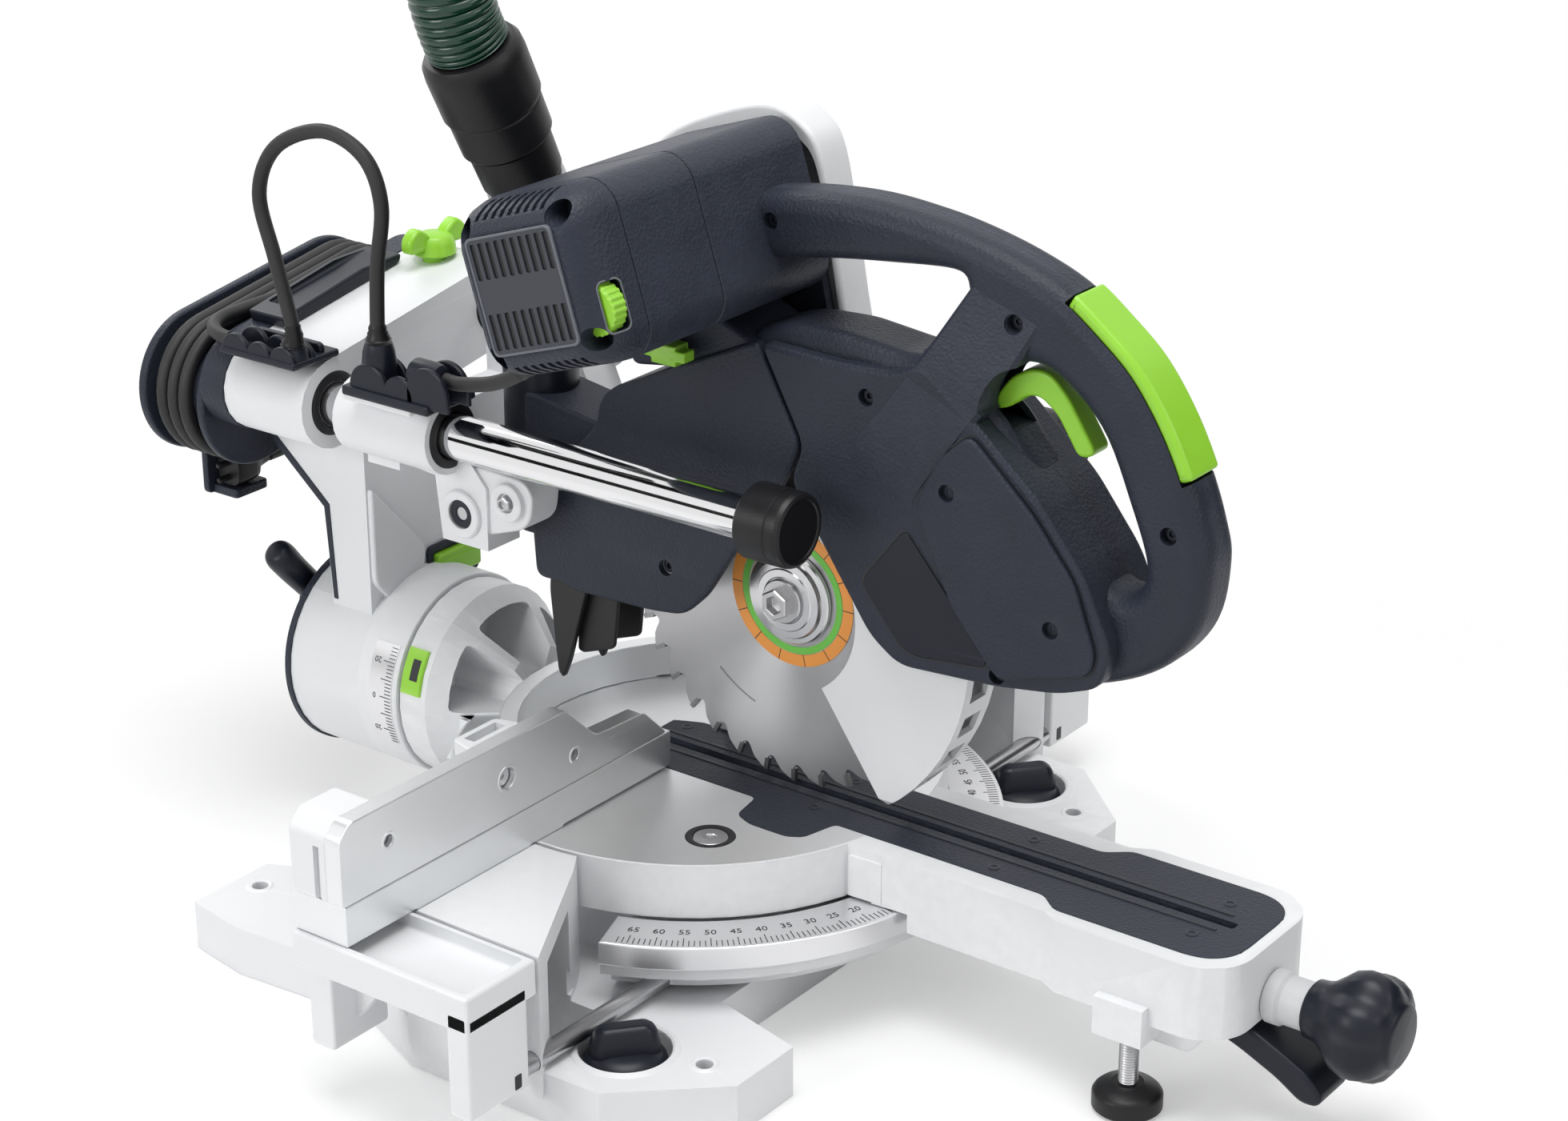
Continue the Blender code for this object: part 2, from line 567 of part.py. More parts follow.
def build_casing():
    """Guard casing, handle shells and front cover, hollow round the blade."""
    pivot_y, pivot_z = PIVOT
    pocket = rod((-POCKET_HALF, *ARBOR), (POCKET_HALF, *ARBOR), POCKET_R, 48)
    arch = rod((-40, *ARBOR), (-10, *ARBOR), 58, 48)
    rear = [(84, 93), (84, 196), (62, 216), (24, 236), (-20, 247), (-61, 252), (-88, 206), (-82, 188),
            (-50, 168), (-22, 152), (0, 95)]
    casing = slab("X", (-CASING_HALF, CASING_HALF), rear)
    join(casing, block((-26, 26), (-34, 24), (236, 262)))
    join(casing, rod((-CASING_HALF, pivot_y, pivot_z), (36, pivot_y, pivot_z), 18, 32))
    join(casing, block((-CASING_HALF, 36), (76, pivot_y), (114, 150)))
    cut(casing, pocket)
    right_plate = [(-104, 90), (-104, 206), (-40, 206), (-20, 150), (-24, 90)]
    join(casing, slab("X", (POCKET_HALF - 0.5, CASING_HALF - 0.6), right_plate))
    join(casing, rod((19, *ARBOR), (CASING_HALF - 0.3, *ARBOR), 39.6, 32))
    cut(casing, motor_envelope(GAP), rod((10, *ARBOR), (40, *ARBOR), 24.3, 24))
    cut(casing, rod((-50, pivot_y, pivot_z), (50, pivot_y, pivot_z), PIVOT_R + GAP, 24))
    part("guard_casing", "head", DARK, casing)

    loop = [(-20, 320), (-60, 331), (-110, 335.5), (-150, 333), (-180, 328), (-208, 321), (-233, 311),
            (-254, 296), (-274, 279), (-291, 256), (-304, 231), (-313, 208), (-317, 188), (-312, 156),
            (-292, 130), (-256, 112), (-215, 104), (-150, 101), (-126, 107), (-84, 190), (-90, 206), (-63, 252.5), (-40, 262), (-20, 285)]
    upper_hole = [(-68, 290), (-90, 300), (-130, 306), (-160, 300), (-168, 288), (-152, 273),
                  (-122, 257), (-95, 258), (-72, 272)]
    hand_hole = [(-192, 248), (-204, 268), (-226, 270), (-254, 248), (-272, 212), (-282, 184),
                 (-277, 168), (-264, 165), (-252, 177), (-228, 209), (-202, 238)]
    front = [(-63, 252.5), (-112, 252), (-150, 258), (-190, 242), (-226, 206), (-252, 172), (-266, 146),
             (-258, 117), (-215, 104), (-150, 101), (-126, 107), (-84, 190), (-90, 206)]
    pad_seat = [(-227.4, 299.4), (-241, 322), (-330, 320), (-321.6, 237.8), (-294.4, 224.2), (-281.3, 248.6),
                (-265.3, 269.6), (-246.8, 285.6)]
    trigger_well = [(-189, 252), (-203, 284), (-236, 284), (-266, 250), (-254, 238), (-222, 258),
                    (-204, 240)]
    for name, side in SIDES:
        inner = side * GAP / 2
        shell = slab("X", sorted((inner, side * HANDLE_HALF)), loop, [upper_hole, hand_hole])
        join(shell, slab("X", sorted((inner, side * CASING_HALF)), front))
        cut(shell, pocket, motor_envelope(GAP))
        cut(shell, slab("X", (-40, 40), pad_seat), slab("X", (-9.8, 9.8), trigger_well))
        if name == "left":
            cut(shell, arch)
        else:
            cut(shell, block((10, 40), (-104 - GAP, 0), (80, 206 + GAP)))
        part("handle_shell_" + name, "head", DARK, shell)

    panel = [(-160, 193), (-174, 220), (-192, 234), (-222, 206), (-250, 172), (-262, 146), (-256, 122),
             (-212, 110), (-196, 116), (-180, 150)]
    cover = slab("X", (-31.5, -CASING_HALF - GAP), panel)
    part("front_cover", "head", DARK, cover)

    pad = [(-236, 311), (-255.5, 297.5), (-275.5, 280), (-292.5, 256.8), (-305.5, 231.5), (-296, 227.5),
           (-283.5, 250.5), (-267.5, 271.5), (-249, 287.5), (-229.5, 300.5)]
    part("safety_pad", "safety_pad", LIME, slab("X", (-HANDLE_HALF - 1, HANDLE_HALF + 1), pad))
    trigger = [(-196, 253), (-207, 273), (-230, 274), (-254, 249), (-247, 244), (-226, 262), (-212, 260),
               (-204, 246)]
    part("trigger", "trigger", LIME, slab("X", (-9, 9), trigger))


def build_motor():
    """Motor housing, end cap, rotor, belt drive, belt housing, speed dial and depth stop."""
    section = rounded_square(MOTOR, MOTOR_HALF, 18, -MOTOR_ROLL)
    housing = slab("X", (MOTOR_SEAM, MOTOR_RIGHT), section)
    cut(housing, rod((MOTOR_SEAM - 5, *MOTOR), (MOTOR_RIGHT - 6, *MOTOR), 34, 24))
    cut(housing, rod((0, *MOTOR), (MOTOR_RIGHT + 5, *MOTOR), 9, 24))
    part("motor_housing", "head", DARK, housing)
    end = slab("X", (MOTOR_LEFT, MOTOR_SEAM - GAP), rounded_square(MOTOR, MOTOR_HALF - 1, 17, -MOTOR_ROLL))
    cut(end, rod((MOTOR_LEFT + 6, *MOTOR), (MOTOR_SEAM + 5, *MOTOR), 34, 24))
    cut(end, block((-142, -130), (-66, -36), (286, 314)))
    part("motor_end_cap", "head", DARK, end)
    dial = rod((-141, -50, 300), (-131, -50, 300), 12, 24)
    part("speed_dial", "speed_dial", LIME, dial)

    rotor = rod((-112, *MOTOR), (4, *MOTOR), 26, 24)
    join(rotor, rod((-136, *MOTOR), (34, *MOTOR), 7, 20), rod((33, *MOTOR), (51, *MOTOR), DRIVE_R, 24))
    part("motor_rotor", "rotor", STEEL, rotor)
    outer = belt_outline(ARBOR, DRIVEN_R + BELT_GAP + BELT_THICK, MOTOR, DRIVE_R + BELT_GAP + BELT_THICK)
    inner = belt_outline(ARBOR, DRIVEN_R + BELT_GAP, MOTOR, DRIVE_R + BELT_GAP)
    part("drive_belt", "head", BLACK, slab("X", (36, 48), outer, [inner]))
    cover = slab("X", (CASING_HALF + 0.4, 58), belt_outline(ARBOR, 36, MOTOR, 46))
    cut(cover, slab("X", (0, 54), belt_outline(ARBOR, 32, MOTOR, 24)))
    part("belt_housing", "head", WHITE, cover)

    latch = block((-40, -CASING_HALF - GAP), (-18, -2), (237, 248))
    join(latch, block((-40, -31), (-24, 4), (240, 246)))
    part("depth_stop", "depth_stop", LIME, latch)


def build_blade():
    """Blade with its flanges, bolt, spindle, driven pulley and bearing, and the lower guard."""
    disc = []
    pitch = 360 / BLADE_TEETH
    for tooth in range(BLADE_TEETH):
        a = tooth * pitch
        for share, depth in ((0.0, 0), (0.30, 2), (0.62, 6.5), (0.90, 7)):
            disc += arc(ARBOR, BLADE_R - depth, a + share * pitch, a, 1)[:1]
    bore = arc(ARBOR, ARBOR_R + GAP, 0, 345, 23)
    blade = slab("X", (-BLADE_THICK / 2, BLADE_THICK / 2), disc, [bore])
    part("saw_blade", "blade", STEEL, blade)
    spindle = rod((-1, *ARBOR), (34, *ARBOR), ARBOR_R, 24)
    join(spindle, rod((1.6, *ARBOR), (8, *ARBOR), 26, 24))
    cut(spindle, rod((-5, *ARBOR), (26, *ARBOR), 5.3, 16))
    part("spindle", "blade", STEEL, spindle)
    flange = turned((-9, *ARBOR), (1, 0, 0), [(0, 0), (22, 0), (26, 3), (26, 7.4), (0, 7.4)])
    cut(flange, rod((-20, *ARBOR), (5, *ARBOR), 5.3, 16))
    part("outer_flange", "blade", STEEL, flange)
    bolt = rod((-18, *ARBOR), (-9 - GAP, *ARBOR), 9, 6)
    join(bolt, rod((-12, *ARBOR), (22, *ARBOR), 5, 16))
    part("blade_bolt", "blade", STEEL, bolt)
    pulley = rod((34 + GAP, *ARBOR), (50, *ARBOR), DRIVEN_R, 40)
    part("driven_pulley", "blade", ALUMINIUM, pulley)
    bearing = rod((19.5, *ARBOR), (CASING_HALF - 0.5, *ARBOR), 24, 24)
    cut(bearing, rod((10, *ARBOR), (40, *ARBOR), ARBOR_R + GAP, 24))
    part("spindle_bearing", "head", STEEL, bearing)

    start, end = 123, 235
    guard = slab("X", (-GUARD_HALF, GUARD_HALF), sector(ARBOR, (50, GUARD_R), start, end, 18))
    cut(guard, slab("X", (3 - GUARD_HALF, GUARD_HALF - 3),
                    sector(ARBOR, (40, GUARD_R - 3), start - 12, end + 12, 20)))
    hub = rod((GUARD_HALF - 2.5, *ARBOR), (GUARD_HALF + 0.5, *ARBOR), 54, 32)
    cut(hub, rod((0, *ARBOR), (40, *ARBOR), 42, 32))
    join(guard, hub)
    cut(guard, slab("Y", (-260, 60), [(-40, -60), (40, -60), (40, 40.8), (0, 0.8), (-40, 40.8)]))
    part("lower_guard", "lower_guard", WHITE, guard)


def build_dust():
    """Dust duct with its port, dust flap, hose cuff, ribbed hose and end coupling."""
    lean = Vector((-0.42, 0.04, 0.906)).normalized()
    start = Vector((-19, 95, 306))
    duct = tube(smooth_path([(0, 108, 157), (0, 108, 200), (-5, 106, 248), start - lean * 24,
                             start - lean * 12, start - lean * LEAD_GAP], 2), 21, 2)
    bore = [(-2, 108, 190), (-5, 106, 248), start - lean * 24, start + lean * 4]
    cut(duct, tube(smooth_path(bore, 2), 17, 2))
    join(duct, block((-20, 20), (84 + GAP, 100), (157, 192)))
    part("dust_duct", "head", BLACK, duct)
    flap = slab("X", (-14, 14), [(58, 92.7), (82, 92.7), (84, 70), (80, 44), (74, 34), (66, 54), (58, 78)])
    part("dust_flap", "head", BLACK, flap)
    cuff = turned(start, lean, [(0, 0), (20, 0), (20, 34), (26, 38), (27, 88), (24, 94), (0, 94)])
    cut(cuff, rod(start - lean * 5, start + lean * 100, HOSE_BORE_R, 16))
    part("hose_cuff", "head", BLACK, cuff)

    first = start + lean * (94 + LEAD_GAP)
    route = smooth_path([first, first + lean * 14, (-71, 101, 428), (-74, 104, 456)], 24)
    ribs = []
    for i in range(2 * HOSE_RIBS + 1):
        spot = route[round(i * (len(route) - 1) / (2 * HOSE_RIBS))]
        ribs.append((spot, HOSE_R if i % 2 else HOSE_R - 2))
    part("suction_hose", "head", GREEN, ribbed_hose(ribs, route))
    last = route[-1]
    way = (route[-1] - route[-2]).normalized()
    profile = [(0, 0), (24, 0), (24, 22), (21, 26), (21, 36), (0, 36)]
    coupling = turned(last + way * LEAD_GAP, way, profile, 16)
    cut(coupling, rod(last - way * 5, last + way * 50, HOSE_BORE_R, 16))
    part("hose_coupling", "head", BLACK, coupling)


def ribbed_hose(ribs, route):
    """A hose of rings with unlike radii, with its bore cut out."""
    curve = bpy.data.curves.new("hose", "CURVE")
    curve.dimensions = "3D"
    curve.bevel_depth = 1.0
    curve.bevel_resolution = 2
    curve.use_fill_caps = True
    curve.render_resolution_u = 0
    spline = curve.splines.new("POLY")
    spline.points.add(len(ribs) - 1)
    for point, (place, radius) in zip(spline.points, ribs):
        point.co = (*place, 1)
        point.radius = radius
    obj = bpy.data.objects.new("hose", curve)
    TOOLS.objects.link(obj)
    hose = mesh_of(obj, Matrix.Identity(4))
    ends = [route[0] * 2 - route[1] * 1, *route[::6], route[-1] * 2 - route[-2]]
    return cut(hose, tube(ends, HOSE_BORE_R - 2, 2))


def winding_path():
    """The mains lead's turns round the winder, from the first point of the top run."""
    radius = SPOOL_CORE_R + CABLE_R + 0.6
    first_y = SPOOL_Y[1] + CABLE_R + 1
    pitch = (SPOOL_Y[2] - SPOOL_Y[1] - 2 * CABLE_R - 2) / (CABLE_TURNS - 0.5)
    outline = belt_outline(SPOOL_LEFT, radius, SPOOL_RIGHT, radius - 0.1, CABLE_POINTS // 2 - 1)
    outline.reverse()
    lengths = [0.0]
    for a, b in zip(outline, outline[1:] + outline[:1]):
        lengths.append(lengths[-1] + math.dist(a, b))
    start = CABLE_POINTS // 2 - 1
    path = []
    for step in range(CABLE_TURNS * CABLE_POINTS - CABLE_POINTS // 2 + 1):
        loops, i = divmod(start + step, CABLE_POINTS)
        run = (lengths[i] - lengths[start]) / lengths[-1] + loops
        path.append(Vector((outline[i][0], first_y + pitch * run, outline[i][1])))
    return path


def lead_in():
    """The lead from the rear clip, through a quarter turn, onto the winder's top run."""
    quarter = arc((LOOP_X + LEAD_BEND, CLIP_REAR + LEAD_GAP), LEAD_BEND, 180, 90, 8)
    path = [Vector((x, y, LEAD_Z)) for x, y in quarter]
    for x, y, rise in ((-25, 293.9, 0), (0, 294.8, 0), (22, 295.5, 1.2)):
        path.append(Vector((x, y, LEAD_Z + rise)))
    return path


def lead_tail(start, end):
    """The lead's last stretch: two arcs of one radius, from the last turn down to the plug."""
    slope = math.atan2(SPOOL_RIGHT[1] - SPOOL_LEFT[1], SPOOL_RIGHT[0] - SPOOL_LEFT[0])
    drop = start.z - end.z
    steep = math.acos((math.cos(slope) + 1 - drop / TAIL_BEND) / 2)
    path = []
    spot = start.copy()
    headings = [slope + (steep - slope) * i / 6 for i in range(7)]
    headings += [steep * (1 - i / 6) for i in range(1, 7)]
    for before, after in zip(headings, headings[1:]):
        step = TAIL_BEND * abs(after - before)
        middle = (before + after) / 2
        spot = spot - Vector((math.cos(middle), 0, math.sin(middle))) * step
        share = (start.z - spot.z) / drop
        path.append(Vector((spot.x, start.y + (end.y - start.y) * share, spot.z)))
    return path + [end]


def build_cables():
    """Mains lead: turns on the winder, plug, loop between the clips and lead to the motor."""
    turns = winding_path()
    plug_y, plug_z = sum(PLUG_Y) / 2, sum(PLUG_Z) / 2
    plug_end = Vector((PLUG_X[1] + LEAD_GAP, plug_y, plug_z))
    path = lead_in() + turns[1:] + lead_tail(turns[-1], plug_end)
    part("lead_winding", "tilt_arm", BLACK, tube(path, CABLE_R, 1))
    print("least gap of the lead's turns to themselves: %.2f mm" % least_gap(turns))
    part("mains_plug", "tilt_arm", BLACK, block(PLUG_X, PLUG_Y, PLUG_Z))

    loop = [(212, 214 + LEAD_GAP), (212, 226), (222, 262), (231, 297), (216, 325), (181, 339), (152, 330),
            (141, 306), (146, 272), (148, 242), (148, 230 + LEAD_GAP)]
    loop = [(LOOP_X, y, z) for y, z in loop]
    part("lead_loop", "carriage", BLACK, tube(smooth_path(loop, 3), CABLE_R, 2))
    lead = [(LOOP_X, 102 - LEAD_GAP, 218), (LOOP_X, 90, 218), (LOOP_X - 2, 66, 224),
            (LOOP_X - 6, 42, 236), (LOOP_X - 8, 24, 252)]
    part("motor_lead", "carriage", BLACK, tube(smooth_path(lead, 3), CABLE_R, 2))


def least_gap(path):
    """The least distance between surfaces of turns that lie beside each other."""
    best = math.inf
    for i, a in enumerate(path):
        for b in path[i + CABLE_POINTS // 2:]:
            best = min(best, (a - b).length - 2 * CABLE_R)
    return best


build_base()
build_turntable()
build_tilt_arm()
build_carriage()
build_casing()
build_motor()
build_blade()
build_dust()
build_cables()
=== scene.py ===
"""Looks of the sliding miter saw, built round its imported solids.

Pieces are drawn in the machine frame, in millimetres: X to the operator's right with 0 in the
blade's plane, Y to the rear with 0 at the fence's face, Z up with 0 at the table top.
"""
import json
import logging
import math
from dataclasses import dataclass
from enum import Enum
from typing import Iterable, Sequence

import bmesh
import bpy
from mathutils import Matrix, Vector

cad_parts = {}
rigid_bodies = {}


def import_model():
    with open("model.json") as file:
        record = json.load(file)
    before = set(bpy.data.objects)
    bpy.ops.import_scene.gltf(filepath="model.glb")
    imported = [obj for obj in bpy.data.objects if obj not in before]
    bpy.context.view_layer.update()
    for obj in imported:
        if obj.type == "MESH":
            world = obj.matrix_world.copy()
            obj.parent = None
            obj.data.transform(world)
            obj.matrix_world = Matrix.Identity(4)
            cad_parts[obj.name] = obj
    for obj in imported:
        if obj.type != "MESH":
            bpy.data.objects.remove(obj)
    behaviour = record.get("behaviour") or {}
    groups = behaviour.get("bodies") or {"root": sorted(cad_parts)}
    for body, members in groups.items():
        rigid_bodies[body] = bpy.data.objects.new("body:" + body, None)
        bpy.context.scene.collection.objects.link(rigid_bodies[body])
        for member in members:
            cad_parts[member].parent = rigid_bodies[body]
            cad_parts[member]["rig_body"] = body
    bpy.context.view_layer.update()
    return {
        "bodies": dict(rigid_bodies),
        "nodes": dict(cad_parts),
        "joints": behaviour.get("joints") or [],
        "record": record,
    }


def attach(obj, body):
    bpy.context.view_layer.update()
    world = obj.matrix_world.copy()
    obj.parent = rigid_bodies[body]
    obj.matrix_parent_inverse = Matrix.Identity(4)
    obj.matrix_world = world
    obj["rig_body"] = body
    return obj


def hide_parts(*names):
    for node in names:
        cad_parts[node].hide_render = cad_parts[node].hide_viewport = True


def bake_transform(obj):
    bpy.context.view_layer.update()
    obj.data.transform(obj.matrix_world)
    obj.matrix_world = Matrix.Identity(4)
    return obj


LOG = logging.getLogger("saw")

Pair = tuple[float, float]
Triple = tuple[float, float, float]

UNIT = 0.001
MACHINE_ZERO = Vector((0.0, 47.0, 95.0))
TO_ROW = Matrix.Scale(UNIT, 4) @ Matrix.Translation(MACHINE_ZERO)


class Axis(Enum):
    """The direction that a flat outline is made thick along."""

    X = Matrix(((0, 0, 1, 0), (1, 0, 0, 0), (0, 1, 0, 0), (0, 0, 0, 1)))
    Y = Matrix(((1, 0, 0, 0), (0, 0, -1, 0), (0, 1, 0, 0), (0, 0, 0, 1)))
    Z = Matrix.Identity(4)


class Side(Enum):
    """The operator's left or right, as the sign of X."""

    LEFT = -1
    RIGHT = 1

    @property
    def word(self) -> str:
        """The side's name in node names."""
        return self.name.lower()


def row(point: Sequence[float]) -> Vector:
    """A machine point as a point of the row frame, in metres."""
    return (Vector(point) + MACHINE_ZERO) * UNIT


def arc(centre: Pair, radius: float, start: float, end: float, steps: int) -> list[Pair]:
    """Points on an arc.

    Args:
        centre: The arc's centre.
        radius: Its radius.
        start: First angle in degrees from the first axis.
        end: Last angle.
        steps: Number of chords.

    Returns:
        The points, first and last included.
    """
    points = []
    for i in range(steps + 1):
        a = math.radians(start + (end - start) * i / steps)
        points.append((centre[0] + radius * math.cos(a), centre[1] + radius * math.sin(a)))
    return points


def sector(centre: Pair, radii: Pair, start: float, end: float, steps: int) -> list[Pair]:
    """The outline of a ring's sector between two radii and two angles."""
    return arc(centre, radii[1], start, end, steps) + arc(centre, radii[0], end, start, steps)


def belt(first: Pair, first_r: float, second: Pair, second_r: float, steps: int = 24) -> list[Pair]:
    """The outline round two circles and their outer tangents."""
    gap = Vector(second) - Vector(first)
    along = math.degrees(math.atan2(gap.y, gap.x))
    lean = math.degrees(math.acos((first_r - second_r) / gap.length))
    return (arc(second, second_r, along - lean, along + lean, steps)
            + arc(first, first_r, along + lean, along - lean + 360, steps))


def spline(points: Sequence[Sequence[float]], steps: int, closed: bool = False) -> list[Vector]:
    """Points on a smooth curve through the given ones.

    Args:
        points: Points in two or three axes.
        steps: Points made for each stretch.
        closed: True for a ring.

    Returns:
        The curve's points.
    """
    count = len(points)
    path = []
    for i in range(count if closed else count - 1):
        if closed:
            picks = [points[(i + k) % count] for k in (-1, 0, 1, 2)]
        else:
            picks = [points[min(max(i + k, 0), count - 1)] for k in (-1, 0, 1, 2)]
        p0, p1, p2, p3 = (Vector(p) for p in picks)
        for k in range(steps):
            t = k / steps
            path.append(0.5 * (2 * p1 + (p2 - p0) * t + (2 * p0 - 5 * p1 + 4 * p2 - p3) * t ** 2
                               + (3 * p1 - p0 - 3 * p2 + p3) * t ** 3))
    if not closed:
        path.append(Vector(points[-1]))
    return path


def soft_corners(points: Sequence[Pair], radius: float, steps: int = 5) -> list[Pair]:
    """An outline with its corners rounded.

    Args:
        points: The corners in order.
        radius: How far from a corner the rounding starts at most.
        steps: Chords in each corner.

    Returns:
        The rounded outline.
    """
    made = []
    count = len(points)
    for i in range(count):
        before, corner, after = (Vector(points[(i + k) % count]) for k in (-1, 0, 1))
        reach = min(radius, 0.48 * (before - corner).length, 0.48 * (after - corner).length)
        a = corner + (before - corner).normalized() * reach
        b = corner + (after - corner).normalized() * reach
        for k in range(steps + 1):
            t = k / steps
            made.append(tuple(a * (1 - t) ** 2 + corner * (2 * t * (1 - t)) + b * t ** 2))
    return made


def flip(points: Sequence[Pair], side: Side) -> list[Pair]:
    """An outline drawn for the right side, on the side asked for."""
    return [(side.value * u, v) for u, v in points]


def round_box_outline(centre: Pair, half: Pair, corner: float, roll: float, steps: int = 8) -> list[Pair]:
    """A rectangle with round corners, rolled by some degrees about its centre."""
    turn = Matrix.Rotation(math.radians(roll), 2)
    points = []
    for quarter in range(4):
        middle = ((1, -1, -1, 1)[quarter] * (half[0] - corner),
                  (1, 1, -1, -1)[quarter] * (half[1] - corner))
        points += arc(middle, corner, 90 * quarter, 90 * quarter + 90, steps)
    return [tuple(turn @ Vector(p) + Vector(centre)) for p in points]


def welded(bm: bmesh.types.BMesh) -> bmesh.types.BMesh:
    """A mesh with doubled points joined and its faces turned outwards."""
    bmesh.ops.remove_doubles(bm, verts=bm.verts, dist=0.002)
    bmesh.ops.recalc_face_normals(bm, faces=bm.faces)
    return bm


def plate(axis: Axis, limits: Pair, outline: Sequence[Pair], holes: Sequence[Sequence[Pair]] = (),
          rounding: float = 0.0, steps: int = 3) -> bmesh.types.BMesh:
    """A flat outline made thick, with its rims rounded.

    Args:
        axis: The direction of the thickness.
        limits: Where the plate starts and ends along it.
        outline: The rim, in the two other axes in X, Y, Z order.
        holes: Rims of holes.
        rounding: Radius of the rounded rims.
        steps: Faces across half a rounding.

    Returns:
        The mesh, in machine millimetres.
    """
    curve = bpy.data.curves.new("outline", "CURVE")
    curve.dimensions = "2D"
    curve.fill_mode = "BOTH"
    curve.extrude = (limits[1] - limits[0]) / 2 - rounding
    curve.bevel_depth = rounding
    curve.bevel_resolution = steps
    curve.offset = -rounding
    for ring in (outline, *holes):
        line = curve.splines.new("POLY")
        line.points.add(len(ring) - 1)
        for point, (u, v) in zip(line.points, ring):
            point.co = (u, v, 0, 1)
        line.use_cyclic_u = True
    obj = bpy.data.objects.new("outline", curve)
    bpy.context.scene.collection.objects.link(obj)
    bpy.context.view_layer.update()
    mesh = bpy.data.meshes.new_from_object(obj.evaluated_get(bpy.context.evaluated_depsgraph_get()))
    bpy.data.objects.remove(obj)
    bm = bmesh.new()
    bm.from_mesh(mesh)
    bpy.data.meshes.remove(mesh)
    middle = (limits[0] + limits[1]) / 2
    shift = Matrix.Translation([middle if a is axis else 0 for a in Axis])
    bmesh.ops.transform(bm, matrix=shift @ axis.value, verts=bm.verts)
    return welded(bm)


def loft(rings: Sequence[Sequence[Sequence[float]]], capped: bool = True) -> bmesh.types.BMesh:
    """A skin over rings of equally many points.

    Args:
        rings: Closed rings of machine points, in order.
        capped: True to close both ends.

    Returns:
        The mesh.
    """
    bm = bmesh.new()
    made = [[bm.verts.new(p) for p in ring] for ring in rings]
    for a, b in zip(made, made[1:]):
        for i in range(len(a)):
            j = (i + 1) % len(a)
            bm.faces.new((a[i], a[j], b[j], b[i]))
    if capped:
        bm.faces.new(made[0])
        bm.faces.new(made[-1])
    bmesh.ops.recalc_face_normals(bm, faces=bm.faces)
    return bm


def lathe(start: Sequence[float], direction: Sequence[float], profile: Sequence[Pair],
          sides: int = 64) -> bmesh.types.BMesh:
    """A turned piece.

    Args:
        start: Point on the axis that distances count from.
        direction: The axis.
        profile: Pairs of radius and distance along the axis; a first and last radius of 0 closes it.
        sides: Faces round the axis.

    Returns:
        The mesh.
    """
    bm = bmesh.new()
    rings = []
    for r, h in profile:
        if r <= 1e-6:
            rings.append([bm.verts.new((0, 0, h))])
        else:
            rings.append([bm.verts.new((x, y, h)) for x, y in arc((0, 0), r, 0, 360, sides)[:-1]])
    for a, b in zip(rings, rings[1:]):
        for i in range(sides):
            j = (i + 1) % sides
            ring = [a[i % len(a)], a[j % len(a)], b[j % len(b)], b[i % len(b)]]
            face = list(dict.fromkeys(ring))
            if len(face) > 2:
                bm.faces.new(face)
    if profile[0] == profile[-1]:
        bmesh.ops.remove_doubles(bm, verts=bm.verts, dist=0.0005)
    turn = Vector((0, 0, 1)).rotation_difference(Vector(direction)).to_matrix().to_4x4()
    bmesh.ops.transform(bm, matrix=Matrix.Translation(start) @ turn, verts=bm.verts)
    bmesh.ops.recalc_face_normals(bm, faces=bm.faces)
    return bm


def sweep(path: Sequence[Sequence[float]], radii: float | Sequence[float],
          sides: int = 16) -> bmesh.types.BMesh:
    """A round tube along a path.

    Args:
        path: Points of the centre line.
        radii: One radius, or one for each point.
        sides: Faces round the tube.

    Returns:
        The mesh, closed at both ends.
    """
    points = [Vector(p) for p in path]
    sizes = [radii] * len(points) if isinstance(radii, (int, float)) else list(radii)
    ways = []
    for i in range(len(points)):
        ways.append((points[min(i + 1, len(points) - 1)] - points[max(i - 1, 0)]).normalized())
    across = ways[0].orthogonal().normalized()
    rings = []
    for i, (spot, way, size) in enumerate(zip(points, ways, sizes)):
        if i:
            across = ways[i - 1].rotation_difference(way) @ across
        across = (across - way * across.dot(way)).normalized()
        other = way.cross(across)
        rings.append([spot + across * (size * math.cos(a)) + other * (size * math.sin(a))
                      for a in (2 * math.pi * k / sides for k in range(sides))])
    return loft(rings)


def box(x: Pair, y: Pair, z: Pair, rounding: float = 0.0, steps: int = 2) -> bmesh.types.BMesh:
    """A block between pairs of limits, with rounded edges."""
    bm = bmesh.new()
    bmesh.ops.create_cube(bm, size=1.0)
    bmesh.ops.scale(bm, vec=(x[1] - x[0], y[1] - y[0], z[1] - z[0]), verts=bm.verts)
    bmesh.ops.translate(bm, vec=((x[0] + x[1]) / 2, (y[0] + y[1]) / 2, (z[0] + z[1]) / 2), verts=bm.verts)
    if rounding:
        bmesh.ops.bevel(bm, geom=list(bm.edges), offset=rounding, segments=steps, profile=0.5,
                        affect="EDGES", clamp_overlap=True)
    return bm


def span(side: Side, near: float, far: float) -> Pair:
    """Limits along X for something that lies from near to far on one side."""
    a, b = sorted((side.value * near, side.value * far))
    return a, b


def merged(*parts: bmesh.types.BMesh) -> bmesh.types.BMesh:
    """Several meshes in one."""
    first, *others = parts
    for bm in others:
        mesh = bpy.data.meshes.new("merge")
        bm.to_mesh(mesh)
        bm.free()
        first.from_mesh(mesh)
        bpy.data.meshes.remove(mesh)
    return first


def moved(bm: bmesh.types.BMesh, matrix: Matrix) -> bmesh.types.BMesh:
    """A mesh moved by a matrix."""
    bmesh.ops.transform(bm, matrix=matrix, verts=bm.verts)
    return bm


